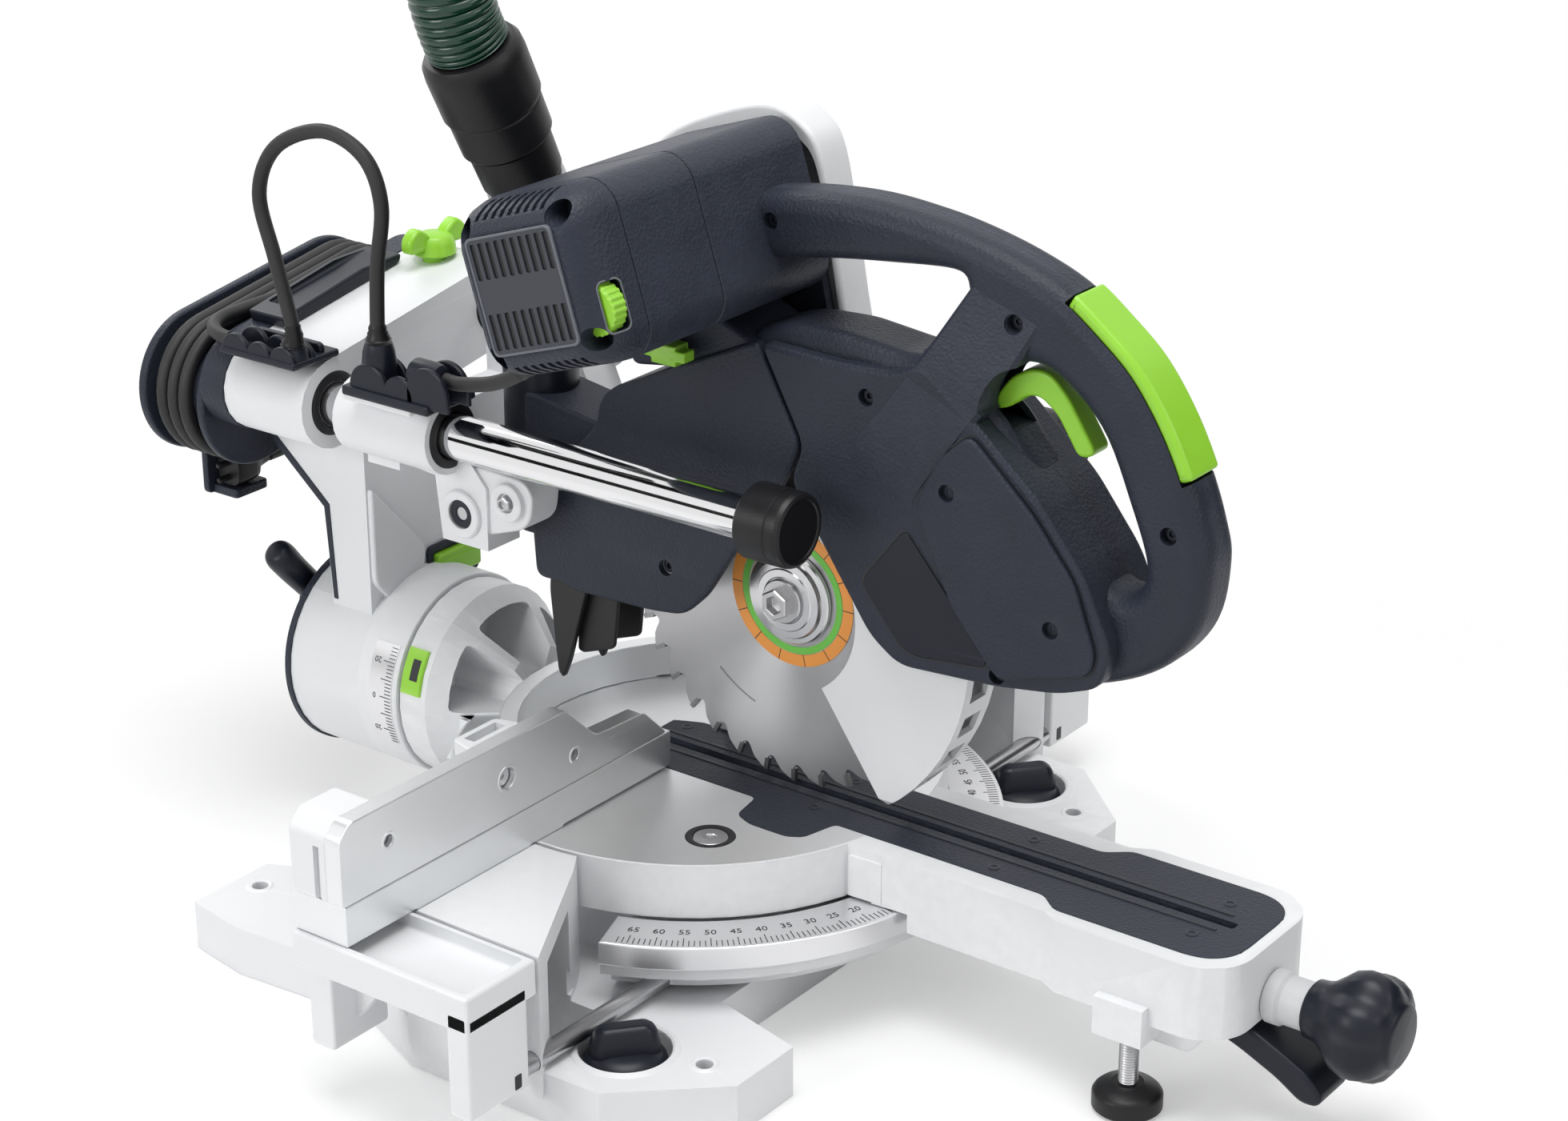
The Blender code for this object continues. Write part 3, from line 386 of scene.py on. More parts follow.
def carved(bm: bmesh.types.BMesh, *cutters: bmesh.types.BMesh) -> bmesh.types.BMesh:
    """A mesh less other meshes.

    Args:
        bm: The closed mesh to cut; it is freed.
        *cutters: Closed meshes to take away; they are freed.

    Returns:
        What is left.
    """
    objects = []
    for part in (bm, *cutters):
        mesh = bpy.data.meshes.new("carving")
        part.to_mesh(mesh)
        part.free()
        obj = bpy.data.objects.new("carving", mesh)
        bpy.context.scene.collection.objects.link(obj)
        objects.append(obj)
    for tool in objects[1:]:
        step = objects[0].modifiers.new("cut", "BOOLEAN")
        step.operation = "DIFFERENCE"
        step.solver = "EXACT"
        step.object = tool
    bpy.context.view_layer.update()
    graph = bpy.context.evaluated_depsgraph_get()
    mesh = bpy.data.meshes.new_from_object(objects[0].evaluated_get(graph))
    for obj in objects:
        bpy.data.meshes.remove(obj.data)
    left = bmesh.new()
    left.from_mesh(mesh)
    bpy.data.meshes.remove(mesh)
    return left


def halves(bm: bmesh.types.BMesh, gap: float) -> dict[Side, bmesh.types.BMesh]:
    """A mesh split along the blade's plane into its left and its right half."""
    made = {}
    for side in Side:
        half = bm.copy()
        cut = bmesh.ops.bisect_plane(half, geom=half.verts[:] + half.edges[:] + half.faces[:],
                                     plane_co=(side.value * gap, 0, 0), plane_no=(side.value, 0, 0),
                                     clear_inner=True)
        rim = [e for e in cut["geom_cut"] if isinstance(e, bmesh.types.BMEdge)]
        bmesh.ops.triangle_fill(half, edges=rim, use_beauty=True)
        bmesh.ops.recalc_face_normals(half, faces=half.faces)
        made[side] = half
    bm.free()
    return made


def number(text: str, size: float, depth: float) -> bmesh.types.BMesh:
    """A raised plain number, lying in XY and centred on the origin."""
    curve = bpy.data.curves.new("number", "FONT")
    curve.body = text
    curve.size = size
    curve.extrude = depth / 2
    curve.align_x = "CENTER"
    curve.align_y = "CENTER"
    curve.resolution_u = 2
    obj = bpy.data.objects.new("number", curve)
    bpy.context.scene.collection.objects.link(obj)
    bpy.context.view_layer.update()
    mesh = bpy.data.meshes.new_from_object(obj.evaluated_get(bpy.context.evaluated_depsgraph_get()))
    bpy.data.objects.remove(obj)
    bm = bmesh.new()
    bm.from_mesh(mesh)
    bpy.data.meshes.remove(mesh)
    return welded(bm)


class Effect(Enum):
    """Shader node groups that several finishes share."""

    GRAIN = "fine_grain"
    WEAR = "edge_wear"
    BRUSHED = "brushed_lines"
    TURNED = "turned_rings"


class Effects:
    """Builds the shared shader node groups and places them in materials."""

    def __init__(self) -> None:
        """Make every group once."""
        self.groups = {
            Effect.GRAIN: self._grain(),
            Effect.WEAR: self._wear(),
            Effect.BRUSHED: self._brushed(),
            Effect.TURNED: self._turned(),
        }

    @staticmethod
    def _new(effect: Effect, inputs: dict[str, float], outputs: Iterable[str]) -> tuple:
        """An empty group with float sockets.

        Args:
            effect: Which group.
            inputs: Input names with their default values.
            outputs: Output names.

        Returns:
            The group's tree, its input node and its output node.
        """
        tree = bpy.data.node_groups.new(effect.value, "ShaderNodeTree")
        for name, value in inputs.items():
            socket = tree.interface.new_socket(name, in_out="INPUT", socket_type="NodeSocketFloat")
            socket.default_value = value
        for name in outputs:
            tree.interface.new_socket(name, in_out="OUTPUT", socket_type="NodeSocketFloat")
        return tree, tree.nodes.new("NodeGroupInput"), tree.nodes.new("NodeGroupOutput")

    def _grain(self) -> bpy.types.NodeTree:
        """Moulded or sprayed surface: a fine height and a broad mottle."""
        tree, given, made = self._new(Effect.GRAIN, {"Scale": 900.0, "Broad Scale": 25.0},
                                      ("Height", "Mottle"))
        spot = tree.nodes.new("ShaderNodeTexCoord")
        fine = tree.nodes.new("ShaderNodeTexNoise")
        fine.inputs["Detail"].default_value = 3.0
        cells = tree.nodes.new("ShaderNodeTexVoronoi")
        broad = tree.nodes.new("ShaderNodeTexNoise")
        broad.inputs["Detail"].default_value = 5.0
        add = tree.nodes.new("ShaderNodeMath")
        for node, name in ((fine, "Scale"), (cells, "Scale"), (broad, "Broad Scale")):
            tree.links.new(spot.outputs["Object"], node.inputs["Vector"])
            tree.links.new(given.outputs[name], node.inputs["Scale"])
        tree.links.new(fine.outputs["Fac"], add.inputs[0])
        tree.links.new(cells.outputs["Distance"], add.inputs[1])
        tree.links.new(add.outputs["Value"], made.inputs["Height"])
        tree.links.new(broad.outputs["Fac"], made.inputs["Mottle"])
        return tree

    def _wear(self) -> bpy.types.NodeTree:
        """Rubbed edges that also paint a highlight: a mask that is 1 on worn, sharp convex corners, where
        a lighter colour stands for both wear and the light caught by the edge.
        """
        tree, given, made = self._new(Effect.WEAR, {"From": 0.53, "To": 0.62, "Scale": 140.0}, ("Mask",))
        shape = tree.nodes.new("ShaderNodeNewGeometry")
        ramp = tree.nodes.new("ShaderNodeMapRange")
        spot = tree.nodes.new("ShaderNodeTexCoord")
        patch = tree.nodes.new("ShaderNodeTexNoise")
        patch.inputs["Detail"].default_value = 4.0
        times = tree.nodes.new("ShaderNodeMath")
        times.operation = "MULTIPLY"
        tree.links.new(shape.outputs["Pointiness"], ramp.inputs["Value"])
        tree.links.new(given.outputs["From"], ramp.inputs["From Min"])
        tree.links.new(given.outputs["To"], ramp.inputs["From Max"])
        tree.links.new(spot.outputs["Object"], patch.inputs["Vector"])
        tree.links.new(given.outputs["Scale"], patch.inputs["Scale"])
        tree.links.new(ramp.outputs["Result"], times.inputs[0])
        tree.links.new(patch.outputs["Fac"], times.inputs[1])
        tree.links.new(times.outputs["Value"], made.inputs["Mask"])
        return tree

    def _brushed(self) -> bpy.types.NodeTree:
        """Straight brushing: noise drawn out along one axis by three stretches."""
        tree, given, made = self._new(Effect.BRUSHED,
                                      {"Along X": 40.0, "Along Y": 900.0, "Along Z": 900.0}, ("Lines",))
        spot = tree.nodes.new("ShaderNodeTexCoord")
        scale = tree.nodes.new("ShaderNodeCombineXYZ")
        times = tree.nodes.new("ShaderNodeVectorMath")
        times.operation = "MULTIPLY"
        noise = tree.nodes.new("ShaderNodeTexNoise")
        noise.inputs["Scale"].default_value = 1.0
        noise.inputs["Detail"].default_value = 3.0
        for axis in "XYZ":
            tree.links.new(given.outputs["Along " + axis], scale.inputs[axis])
        tree.links.new(spot.outputs["Object"], times.inputs[0])
        tree.links.new(scale.outputs["Vector"], times.inputs[1])
        tree.links.new(times.outputs["Vector"], noise.inputs["Vector"])
        tree.links.new(noise.outputs["Fac"], made.inputs["Lines"])
        return tree

    def _turned(self) -> bpy.types.NodeTree:
        """Turned faces: fine rings and a broad fan round the object's own X axis."""
        tree, given, made = self._new(Effect.TURNED, {"Rings": 2500.0, "Fans": 3.0}, ("Lines", "Fan"))
        spot = tree.nodes.new("ShaderNodeTexCoord")
        split = tree.nodes.new("ShaderNodeSeparateXYZ")
        flat = tree.nodes.new("ShaderNodeCombineXYZ")
        length = tree.nodes.new("ShaderNodeVectorMath")
        length.operation = "LENGTH"
        ring = tree.nodes.new("ShaderNodeMath")
        ring.operation = "MULTIPLY"
        noise = tree.nodes.new("ShaderNodeTexNoise")
        noise.noise_dimensions = "1D"
        noise.inputs["Scale"].default_value = 1.0
        unit = tree.nodes.new("ShaderNodeVectorMath")
        unit.operation = "NORMALIZE"
        fan = tree.nodes.new("ShaderNodeTexNoise")
        fan.inputs["Detail"].default_value = 2.0
        tree.links.new(spot.outputs["Object"], split.inputs["Vector"])
        tree.links.new(split.outputs["Y"], flat.inputs["Y"])
        tree.links.new(split.outputs["Z"], flat.inputs["Z"])
        tree.links.new(flat.outputs["Vector"], length.inputs[0])
        tree.links.new(length.outputs["Value"], ring.inputs[0])
        tree.links.new(given.outputs["Rings"], ring.inputs[1])
        tree.links.new(ring.outputs["Value"], noise.inputs["W"])
        tree.links.new(flat.outputs["Vector"], unit.inputs[0])
        tree.links.new(unit.outputs["Vector"], fan.inputs["Vector"])
        tree.links.new(given.outputs["Fans"], fan.inputs["Scale"])
        tree.links.new(noise.outputs["Fac"], made.inputs["Lines"])
        tree.links.new(fan.outputs["Fac"], made.inputs["Fan"])
        return tree

    def place(self, tree: bpy.types.NodeTree, effect: Effect, **values: float) -> bpy.types.Node:
        """Put a group into a material's tree.

        Args:
            tree: The material's node tree.
            effect: Which group.
            **values: Its input values, with _ for a space.

        Returns:
            The group's node.
        """
        node = tree.nodes.new("ShaderNodeGroup")
        node.node_tree = self.groups[effect]
        for name, value in values.items():
            node.inputs[name.replace("_", " ").title()].default_value = value
        return node


@dataclass(frozen=True)
class Finish:
    """A surface: its colour, gloss, grain, and its edge wear with a painted edge highlight."""

    name: str
    slot: str
    colour: Triple
    roughness: float
    metallic: float = 0.0
    grain: float = 1400.0
    bump: float = 0.12
    shade: float = 0.05
    rough_swing: float = 0.06
    # Lighter colour for sharp convex edges: partly rubbed wear, partly a painted highlight on the edge.
    wear_colour: Triple | None = None
    wear: tuple[float, float] = (0.54, 0.64)
    coat: float = 0.0
    specular: float = 0.5
    anisotropic: float = 0.0
    brushed: Triple | None = None
    turned: float = 0.0

    def material(self, effects: Effects) -> bpy.types.Material:
        """Build the finish's material.

        Args:
            effects: The shared node groups.

        Returns:
            The material.
        """
        material = bpy.data.materials.new(self.name)
        material.use_nodes = True
        tree = material.node_tree
        shader = tree.nodes["Principled BSDF"]
        shader.inputs["Metallic"].default_value = self.metallic
        shader.inputs["Coat Weight"].default_value = self.coat
        shader.inputs["Specular IOR Level"].default_value = self.specular
        shader.inputs["Anisotropic"].default_value = self.anisotropic
        shader.inputs["Anisotropic Rotation"].default_value = 0.25
        grain = effects.place(tree, Effect.GRAIN, scale=self.grain, broad_scale=30.0)
        colour = self._mixed(tree, grain.outputs["Mottle"])
        # Convex edges take the lighter colour, which paints an edge highlight as well as rubbed wear.
        if self.wear_colour is not None:
            worn = effects.place(tree, Effect.WEAR, **{"from": self.wear[0], "to": self.wear[1]})
            rub = tree.nodes.new("ShaderNodeMix")
            rub.data_type = "RGBA"
            rub.inputs["B"].default_value = (*self.wear_colour, 1)
            tree.links.new(worn.outputs["Mask"], rub.inputs["Factor"])
            tree.links.new(colour, rub.inputs["A"])
            colour = rub.outputs["Result"]
        tree.links.new(colour, shader.inputs["Base Color"])
        height, swing = grain.outputs["Height"], grain.outputs["Mottle"]
        if self.brushed is not None:
            x, y, z = self.brushed
            lines = effects.place(tree, Effect.BRUSHED, along_x=x, along_y=y, along_z=z)
            height = swing = lines.outputs["Lines"]
        if self.turned:
            lines = effects.place(tree, Effect.TURNED, rings=self.turned)
            height = swing = lines.outputs["Lines"]
            way = tree.nodes.new("ShaderNodeTangent")
            way.direction_type = "RADIAL"
            way.axis = "X"
            tree.links.new(way.outputs["Tangent"], shader.inputs["Tangent"])
        spread = tree.nodes.new("ShaderNodeMapRange")
        spread.inputs["To Min"].default_value = self.roughness - self.rough_swing
        spread.inputs["To Max"].default_value = self.roughness + self.rough_swing
        tree.links.new(swing, spread.inputs["Value"])
        tree.links.new(spread.outputs["Result"], shader.inputs["Roughness"])
        bump = tree.nodes.new("ShaderNodeBump")
        bump.inputs["Strength"].default_value = self.bump
        bump.inputs["Distance"].default_value = 0.0003
        tree.links.new(height, bump.inputs["Height"])
        tree.links.new(bump.outputs["Normal"], shader.inputs["Normal"])
        return material

    def _mixed(self, tree: bpy.types.NodeTree, mottle: bpy.types.NodeSocket) -> bpy.types.NodeSocket:
        """The base colour, a little darker and lighter by the mottle."""
        mix = tree.nodes.new("ShaderNodeMix")
        mix.data_type = "RGBA"
        mix.inputs["A"].default_value = (*(c * (1 - self.shade) for c in self.colour), 1)
        mix.inputs["B"].default_value = (*(min(1, c * (1 + self.shade)) for c in self.colour), 1)
        tree.links.new(mottle, mix.inputs["Factor"])
        return mix.outputs["Result"]


# The wear colours are lighter than the base colours, so they paint edge highlights along with wear.
WHITE = Finish("white_powder_coat", "white_paint", (0.74, 0.75, 0.765), 0.42, grain=1500, bump=0.10,
               shade=0.02, wear_colour=(0.84, 0.85, 0.86))
DARK = Finish("dark_grained_plastic", "dark_plastic", (0.0230, 0.0270, 0.0410), 0.46, grain=560,
              bump=0.75, shade=0.25, rough_swing=0.10, wear_colour=(0.070, 0.078, 0.104), specular=0.25)
DARK_SMOOTH = Finish("dark_satin_plastic", "dark_plastic", (0.0085, 0.0105, 0.0180), 0.36, bump=0.06,
                     shade=0.12, wear_colour=(0.045, 0.050, 0.068), specular=0.30)
# A lighter dark plastic that paints the highlight on thin frame edges.
EDGE_HIGHLIGHT = Finish("dark_bright_edge", "dark_plastic", (0.120, 0.128, 0.148), 0.34, bump=0.05, shade=0.08)
BARS = Finish("grille_bars", "dark_plastic", (0.030, 0.034, 0.046), 0.40, bump=0.08, shade=0.12)
BLACK = Finish("black_plastic", "black_plastic", (0.0065, 0.0065, 0.0075), 0.40, bump=0.10, shade=0.12,
               wear_colour=(0.035, 0.035, 0.040), specular=0.32)
RUBBER = Finish("black_rubber", "black_rubber", (0.011, 0.011, 0.012), 0.58, grain=1800, bump=0.16,
                shade=0.15)
LIME = Finish("lime_plastic", "lime_plastic", (0.28, 0.62, 0.035), 0.34, grain=1800, bump=0.10,
              shade=0.05, wear_colour=(0.45, 0.75, 0.16))
HOSE = Finish("green_hose", "green_hose", (0.001, 0.036, 0.019), 0.24, bump=0.04, shade=0.20, coat=0.15)
CHROME = Finish("hard_chrome", "chrome", (0.78, 0.78, 0.79), 0.07, 1.0, bump=0.01, shade=0.02,
                rough_swing=0.02)
STEEL = Finish("plain_steel", "steel", (0.52, 0.52, 0.53), 0.30, 1.0, bump=0.05, shade=0.06)
BLADE = Finish("ground_blade_steel", "steel", (0.50, 0.50, 0.51), 0.40, 1.0, bump=0.05, shade=0.05,
               anisotropic=0.92, turned=2600.0, rough_swing=0.07)
TURNED = Finish("turned_steel", "steel", (0.62, 0.62, 0.63), 0.24, 1.0, bump=0.04, shade=0.04,
                turned=2200.0)
ALUMINIUM = Finish("milled_aluminium", "aluminium", (0.80, 0.81, 0.82), 0.36, 0.85, bump=0.10, shade=0.04,
                   brushed=(30.0, 1200.0, 1600.0))
TABLE_TOP = Finish("planed_table_top", "aluminium", (0.80, 0.81, 0.82), 0.40, 0.80, bump=0.08, shade=0.04,
                   brushed=(1300.0, 26.0, 1300.0))
SCALE = Finish("scale_aluminium", "aluminium", (0.76, 0.76, 0.77), 0.32, 0.85, bump=0.05, shade=0.04)
BRONZE = Finish("sintered_bronze", "bronze", (0.42, 0.27, 0.11), 0.42, 1.0, bump=0.10, shade=0.10)
INK = Finish("dark_ink", "black_plastic", (0.012, 0.012, 0.014), 0.5, bump=0.02, shade=0.05)
ORANGE = Finish("orange_ring_ink", "steel", (0.85, 0.33, 0.06), 0.4, bump=0.02, shade=0.05)
GREEN_INK = Finish("green_ring_ink", "steel", (0.16, 0.55, 0.07), 0.4, bump=0.02, shade=0.05)
CARBIDE = Finish("carbide_tip", "steel", (0.36, 0.36, 0.37), 0.38, 1.0, bump=0.12, shade=0.08)
PALE = Finish("pale_grey_plastic", "white_paint", (0.55, 0.56, 0.57), 0.45, bump=0.08, shade=0.04)


class Workshop:
    """Makes pieces from meshes, dresses them and lets them ride on the saw's bodies."""

    def __init__(self, frame: dict) -> None:
        """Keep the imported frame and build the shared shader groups."""
        self.frame = frame
        self.effects = Effects()
        self.materials: dict[str, bpy.types.Material] = {}

    def material(self, finish: Finish) -> bpy.types.Material:
        """The finish's material, made when it is first asked for."""
        if finish.name not in self.materials:
            self.materials[finish.name] = finish.material(self.effects)
        return self.materials[finish.name]

    def piece(self, name: str, bm: bmesh.types.BMesh, finish: Finish, body: str,
              replaces: Iterable[str] = (), bevel: float = 0.0, segments: int = 2, sharp: float = 34.0,
              origin: Sequence[float] | None = None) -> bpy.types.Object:
        """Make a mesh in machine millimetres a piece of the saw.

        Args:
            name: The piece's name.
            bm: Its mesh; it is freed.
            finish: Its surface.
            body: The body it rides on.
            replaces: Solids that it stands for.
            bevel: Width of its rounded edges.
            segments: Faces across an edge.
            sharp: Angle in degrees above which shading breaks.
            origin: Machine point of its own zero, for turned surfaces.

        Returns:
            The object.
        """
        bmesh.ops.transform(bm, matrix=TO_ROW, verts=bm.verts)
        mesh = bpy.data.meshes.new(name)
        bm.to_mesh(mesh)
        bm.free()
        obj = bpy.data.objects.new(name, mesh)
        bpy.context.scene.collection.objects.link(obj)
        if origin is not None:
            spot = row(origin)
            mesh.transform(Matrix.Translation(-spot))
            obj.location = spot
        mesh.shade_smooth()
        mesh.set_sharp_from_angle(angle=math.radians(sharp))
        self._round_edges(obj, bevel, segments)
        mesh.materials.append(self.material(finish))
        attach(obj, body)
        if replaces:
            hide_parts(*replaces)
        LOG.info("%s: %s on %s", name, finish.name, body)
        return obj

    def solid(self, node: str) -> bmesh.types.BMesh:
        """A solid's own shape in machine millimetres, with its flat faces cleaned up."""
        bm = bmesh.new()
        bm.from_mesh(self.frame["nodes"][node].data)
        bmesh.ops.remove_doubles(bm, verts=bm.verts, dist=2e-6)
        bmesh.ops.dissolve_limit(bm, angle_limit=math.radians(1), verts=bm.verts, edges=bm.edges,
                                 use_dissolve_boundaries=False, delimit=set())
        bmesh.ops.recalc_face_normals(bm, faces=bm.faces)
        bmesh.ops.transform(bm, matrix=TO_ROW.inverted(), verts=bm.verts)
        return bm

    def refined(self, node: str, finish: Finish, bevel: float = 1.0, segments: int = 2,
                cutters: Sequence[bmesh.types.BMesh] = ()) -> bpy.types.Object:
        """A solid's own shape with its edges rounded.

        Args:
            node: The solid's name.
            finish: Its surface.
            bevel: Width of its rounded edges.
            segments: Faces across an edge.
            cutters: Meshes to take away from it.

        Returns:
            The piece that stands for the solid.
        """
        bm = self.solid(node)
        if cutters:
            bm = carved(bm, *cutters)
        body = self.frame["nodes"][node]["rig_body"]
        return self.piece(node + "_skin", bm, finish, body, (node,), bevel, segments)

    def dress(self, finish: Finish, *nodes: str) -> None:
        """Give solids that stay as they are their finish."""
        for node in nodes:
            obj = self.frame["nodes"][node]
            obj.data.materials.clear()
            obj.data.materials.append(self.material(finish))

    @staticmethod
    def _round_edges(obj: bpy.types.Object, width: float, segments: int) -> None:
        """Rounded edges and even shading on the flats between them."""
        if width:
            bevel = obj.modifiers.new("rounded_edges", "BEVEL")
            bevel.width = width * UNIT
            bevel.segments = segments
            bevel.limit_method = "ANGLE"
            bevel.angle_limit = math.radians(28)
            bevel.use_clamp_overlap = True
            bevel.miter_outer = "MITER_ARC"
        normals = obj.modifiers.new("even_shading", "WEIGHTED_NORMAL")
        normals.keep_sharp = True
        normals.weight = 60

    def screw(self, name: str, spot: Sequence[float], way: Sequence[float], body: str,
              radius: float = 4.0, finish: Finish = STEEL) -> bpy.types.Object:
        """A recessed screw: a socket head set a little into the surface.

        Args:
            name: The piece's name.
            spot: Machine point on the surface.
            way: Direction out of the surface.
            body: The body it rides on.
            radius: Radius of the head.
            finish: Finish of the head.

        Returns:
            The screw's object.
        """
        rim = lathe(spot, way, [(0, -1.2), (radius * 0.42, -1.2), (radius * 0.46, 0.15),
                                (radius * 0.82, 0.35), (radius, 0.1), (radius, -1.4), (0, -1.4)], 24)
        return self.piece(name, rim, finish, body)


@dataclass
class Stage:
    """Camera, lamps, world, floor and cards."""

    camera_spot: Triple = (-1251.2, -991.8, 769.9)
    camera_way: Triple = (0.7410, 0.5532, -0.3806)
    lens: float = 73.65
    floor_size: float = 30.0
    fade: Pair = (0.30, 0.80)
    card_aim = Vector((-0.06, 0.05, 0.27))

    def build(self) -> None:
        """Make the camera, the lights, the floor and the cards."""
        self.camera()
        self.lights()
        self.floor()
        self.cards()

    def camera(self) -> None:
        """The camera at the photograph's viewing angle."""
        data = bpy.data.cameras.new("camera")
        data.sensor_width = 36.0
        data.lens = self.lens
        data.clip_start, data.clip_end = 0.05, 100.0
        obj = bpy.data.objects.new("camera", data)
        obj.location = row(self.camera_spot)
        obj.rotation_mode = "QUATERNION"
        obj.rotation_quaternion = Vector(self.camera_way).to_track_quat("-Z", "Y")
        bpy.context.scene.collection.objects.link(obj)
        bpy.context.scene.camera = obj

    def lights(self) -> None:
        """Soft boxes from above, left, front and rear, in a room that darkens to its horizon."""
        boxes = (
            ("top_box", (-0.3, -0.2, 2.3), (0.0, 0.0, 0.2), 1.4, 35.0),
            ("left_box", (-2.0, 0.7, 1.0), (0.0, 0.0, 0.25), 1.0, 16.0),
            ("front_box", (0.4, -2.2, 1.3), (0.0, 0.0, 0.2), 0.8, 6.0),
            ("rear_box", (0.6, 2.0, 1.7), (0.0, 0.0, 0.3), 0.9, 10.0),
        )
        for name, spot, aim, size, power in boxes:
            data = bpy.data.lights.new(name, "AREA")
            data.shape = "SQUARE"
            data.size = size
            data.energy = power
            obj = bpy.data.objects.new(name, data)
            obj.location = spot
            obj.rotation_euler = (Vector(aim) - Vector(spot)).to_track_quat("-Z", "Y").to_euler()
            bpy.context.scene.collection.objects.link(obj)
        world = bpy.data.worlds.new("pale_room")
        bpy.context.scene.world = world
        world.use_nodes = True
        tree = world.node_tree
        tree.nodes.clear()
        out = tree.nodes.new("ShaderNodeOutputWorld")
        room = tree.nodes.new("ShaderNodeBackground")
        seen = tree.nodes.new("ShaderNodeBackground")
        mix = tree.nodes.new("ShaderNodeMixShader")
        way = tree.nodes.new("ShaderNodeTexCoord")
        split = tree.nodes.new("ShaderNodeSeparateXYZ")
        rise = tree.nodes.new("ShaderNodeMapRange")
        rise.inputs["From Max"].default_value = 0.8
        rise.inputs["To Min"].default_value = 0.12
        rise.inputs["To Max"].default_value = 0.50
        tree.links.new(way.outputs["Generated"], split.inputs["Vector"])
        tree.links.new(split.outputs["Z"], rise.inputs["Value"])
        tree.links.new(rise.outputs["Result"], room.inputs["Strength"])
        room.inputs["Color"].default_value = (1.0, 1.0, 1.0, 1)
        seen.inputs["Color"].default_value = (1.0, 1.0, 1.0, 1)
        tree.links.new(self.shown(tree), mix.inputs["Fac"])
        tree.links.new(room.outputs["Background"], mix.inputs[1])
        tree.links.new(seen.outputs["Background"], mix.inputs[2])
        tree.links.new(mix.outputs["Shader"], out.inputs["Surface"])
        bpy.context.scene.view_settings.view_transform = "Standard"

    def shown(self, tree: bpy.types.NodeTree) -> bpy.types.NodeSocket:
        """1 for the rays that see the white background: from the camera, and by way of metal or glass."""
        ray = tree.nodes.new("ShaderNodeLightPath")
        total = ray.outputs["Is Camera Ray"]
        for other in ("Is Glossy Ray", "Is Transmission Ray"):
            larger = tree.nodes.new("ShaderNodeMath")
            larger.operation = "MAXIMUM"
            tree.links.new(total, larger.inputs[0])
            tree.links.new(ray.outputs[other], larger.inputs[1])
            total = larger.outputs["Value"]
        return total

    def cards(self) -> None:
        """Dark cards, seen in reflections alone, that band the rails and darken the front faces."""
        material = bpy.data.materials.new("dark_card")
        material.use_nodes = True
        shader = material.node_tree.nodes["Principled BSDF"]
        shader.inputs["Base Color"].default_value = (0.01, 0.01, 0.01, 1)
        shader.inputs["Roughness"].default_value = 0.9
        shader.inputs["Specular IOR Level"].default_value = 0.0
        cards = (
            ("low_card", (-1.45, 0.75, 0.42), (1.6, 0.36)),
            ("high_card", (-0.75, 0.95, 1.35), (1.8, 0.30)),
            ("front_card", (1.0, -1.1, 0.30), (2.2, 1.3)),
        )
        for name, spot, size in cards:
            bm = bmesh.new()
            bmesh.ops.create_grid(bm, x_segments=1, y_segments=1, size=0.5)
            bmesh.ops.scale(bm, vec=(size[0], size[1], 1), verts=bm.verts)
            mesh = bpy.data.meshes.new(name)
            bm.to_mesh(mesh)
            bm.free()
            mesh.materials.append(material)
            obj = bpy.data.objects.new(name, mesh)
            obj.location = spot
            facing = self.card_aim - Vector(spot)
            obj.rotation_euler = facing.to_track_quat("Z", "Y").to_euler()
            obj.visible_camera = False
            obj.visible_diffuse = False
            obj.visible_shadow = False
            bpy.context.scene.collection.objects.link(obj)

    def floor(self) -> None:
        """A pale floor that carries the shadow and, for the camera, fades into the white room."""
        bm = bmesh.new()
        bmesh.ops.create_grid(bm, x_segments=1, y_segments=1, size=self.floor_size)
        mesh = bpy.data.meshes.new("floor")
        bm.to_mesh(mesh)
        bm.free()
        obj = bpy.data.objects.new("floor", mesh)
        obj.location = (0, 0, -0.0005)
        material = bpy.data.materials.new("pale_floor")
        material.use_nodes = True
        tree = material.node_tree
        shader = tree.nodes["Principled BSDF"]
        shader.inputs["Base Color"].default_value = (0.95, 0.95, 0.95, 1)
        shader.inputs["Roughness"].default_value = 0.8
        shader.inputs["Specular IOR Level"].default_value = 0.1
        glow = tree.nodes.new("ShaderNodeEmission")
        spot = tree.nodes.new("ShaderNodeTexCoord")
        reach = tree.nodes.new("ShaderNodeVectorMath")
        reach.operation = "LENGTH"
        fade = tree.nodes.new("ShaderNodeMapRange")
        fade.interpolation_type = "SMOOTHSTEP"
        fade.inputs["From Min"].default_value = self.fade[0]
        fade.inputs["From Max"].default_value = self.fade[1]
        fade.inputs["To Min"].default_value = 0.35
        share = tree.nodes.new("ShaderNodeMath")
        share.operation = "MULTIPLY"
        mix = tree.nodes.new("ShaderNodeMixShader")
        tree.links.new(spot.outputs["Object"], reach.inputs[0])
        tree.links.new(reach.outputs["Value"], fade.inputs["Value"])
        tree.links.new(fade.outputs["Result"], share.inputs[0])
        tree.links.new(self.shown(tree), share.inputs[1])
        tree.links.new(share.outputs["Value"], mix.inputs["Fac"])
        tree.links.new(shader.outputs["BSDF"], mix.inputs[1])
        tree.links.new(glow.outputs["Emission"], mix.inputs[2])
        tree.links.new(mix.outputs["Shader"], tree.nodes["Material Output"].inputs["Surface"])
        mesh.materials.append(material)
        bpy.context.scene.collection.objects.link(obj)


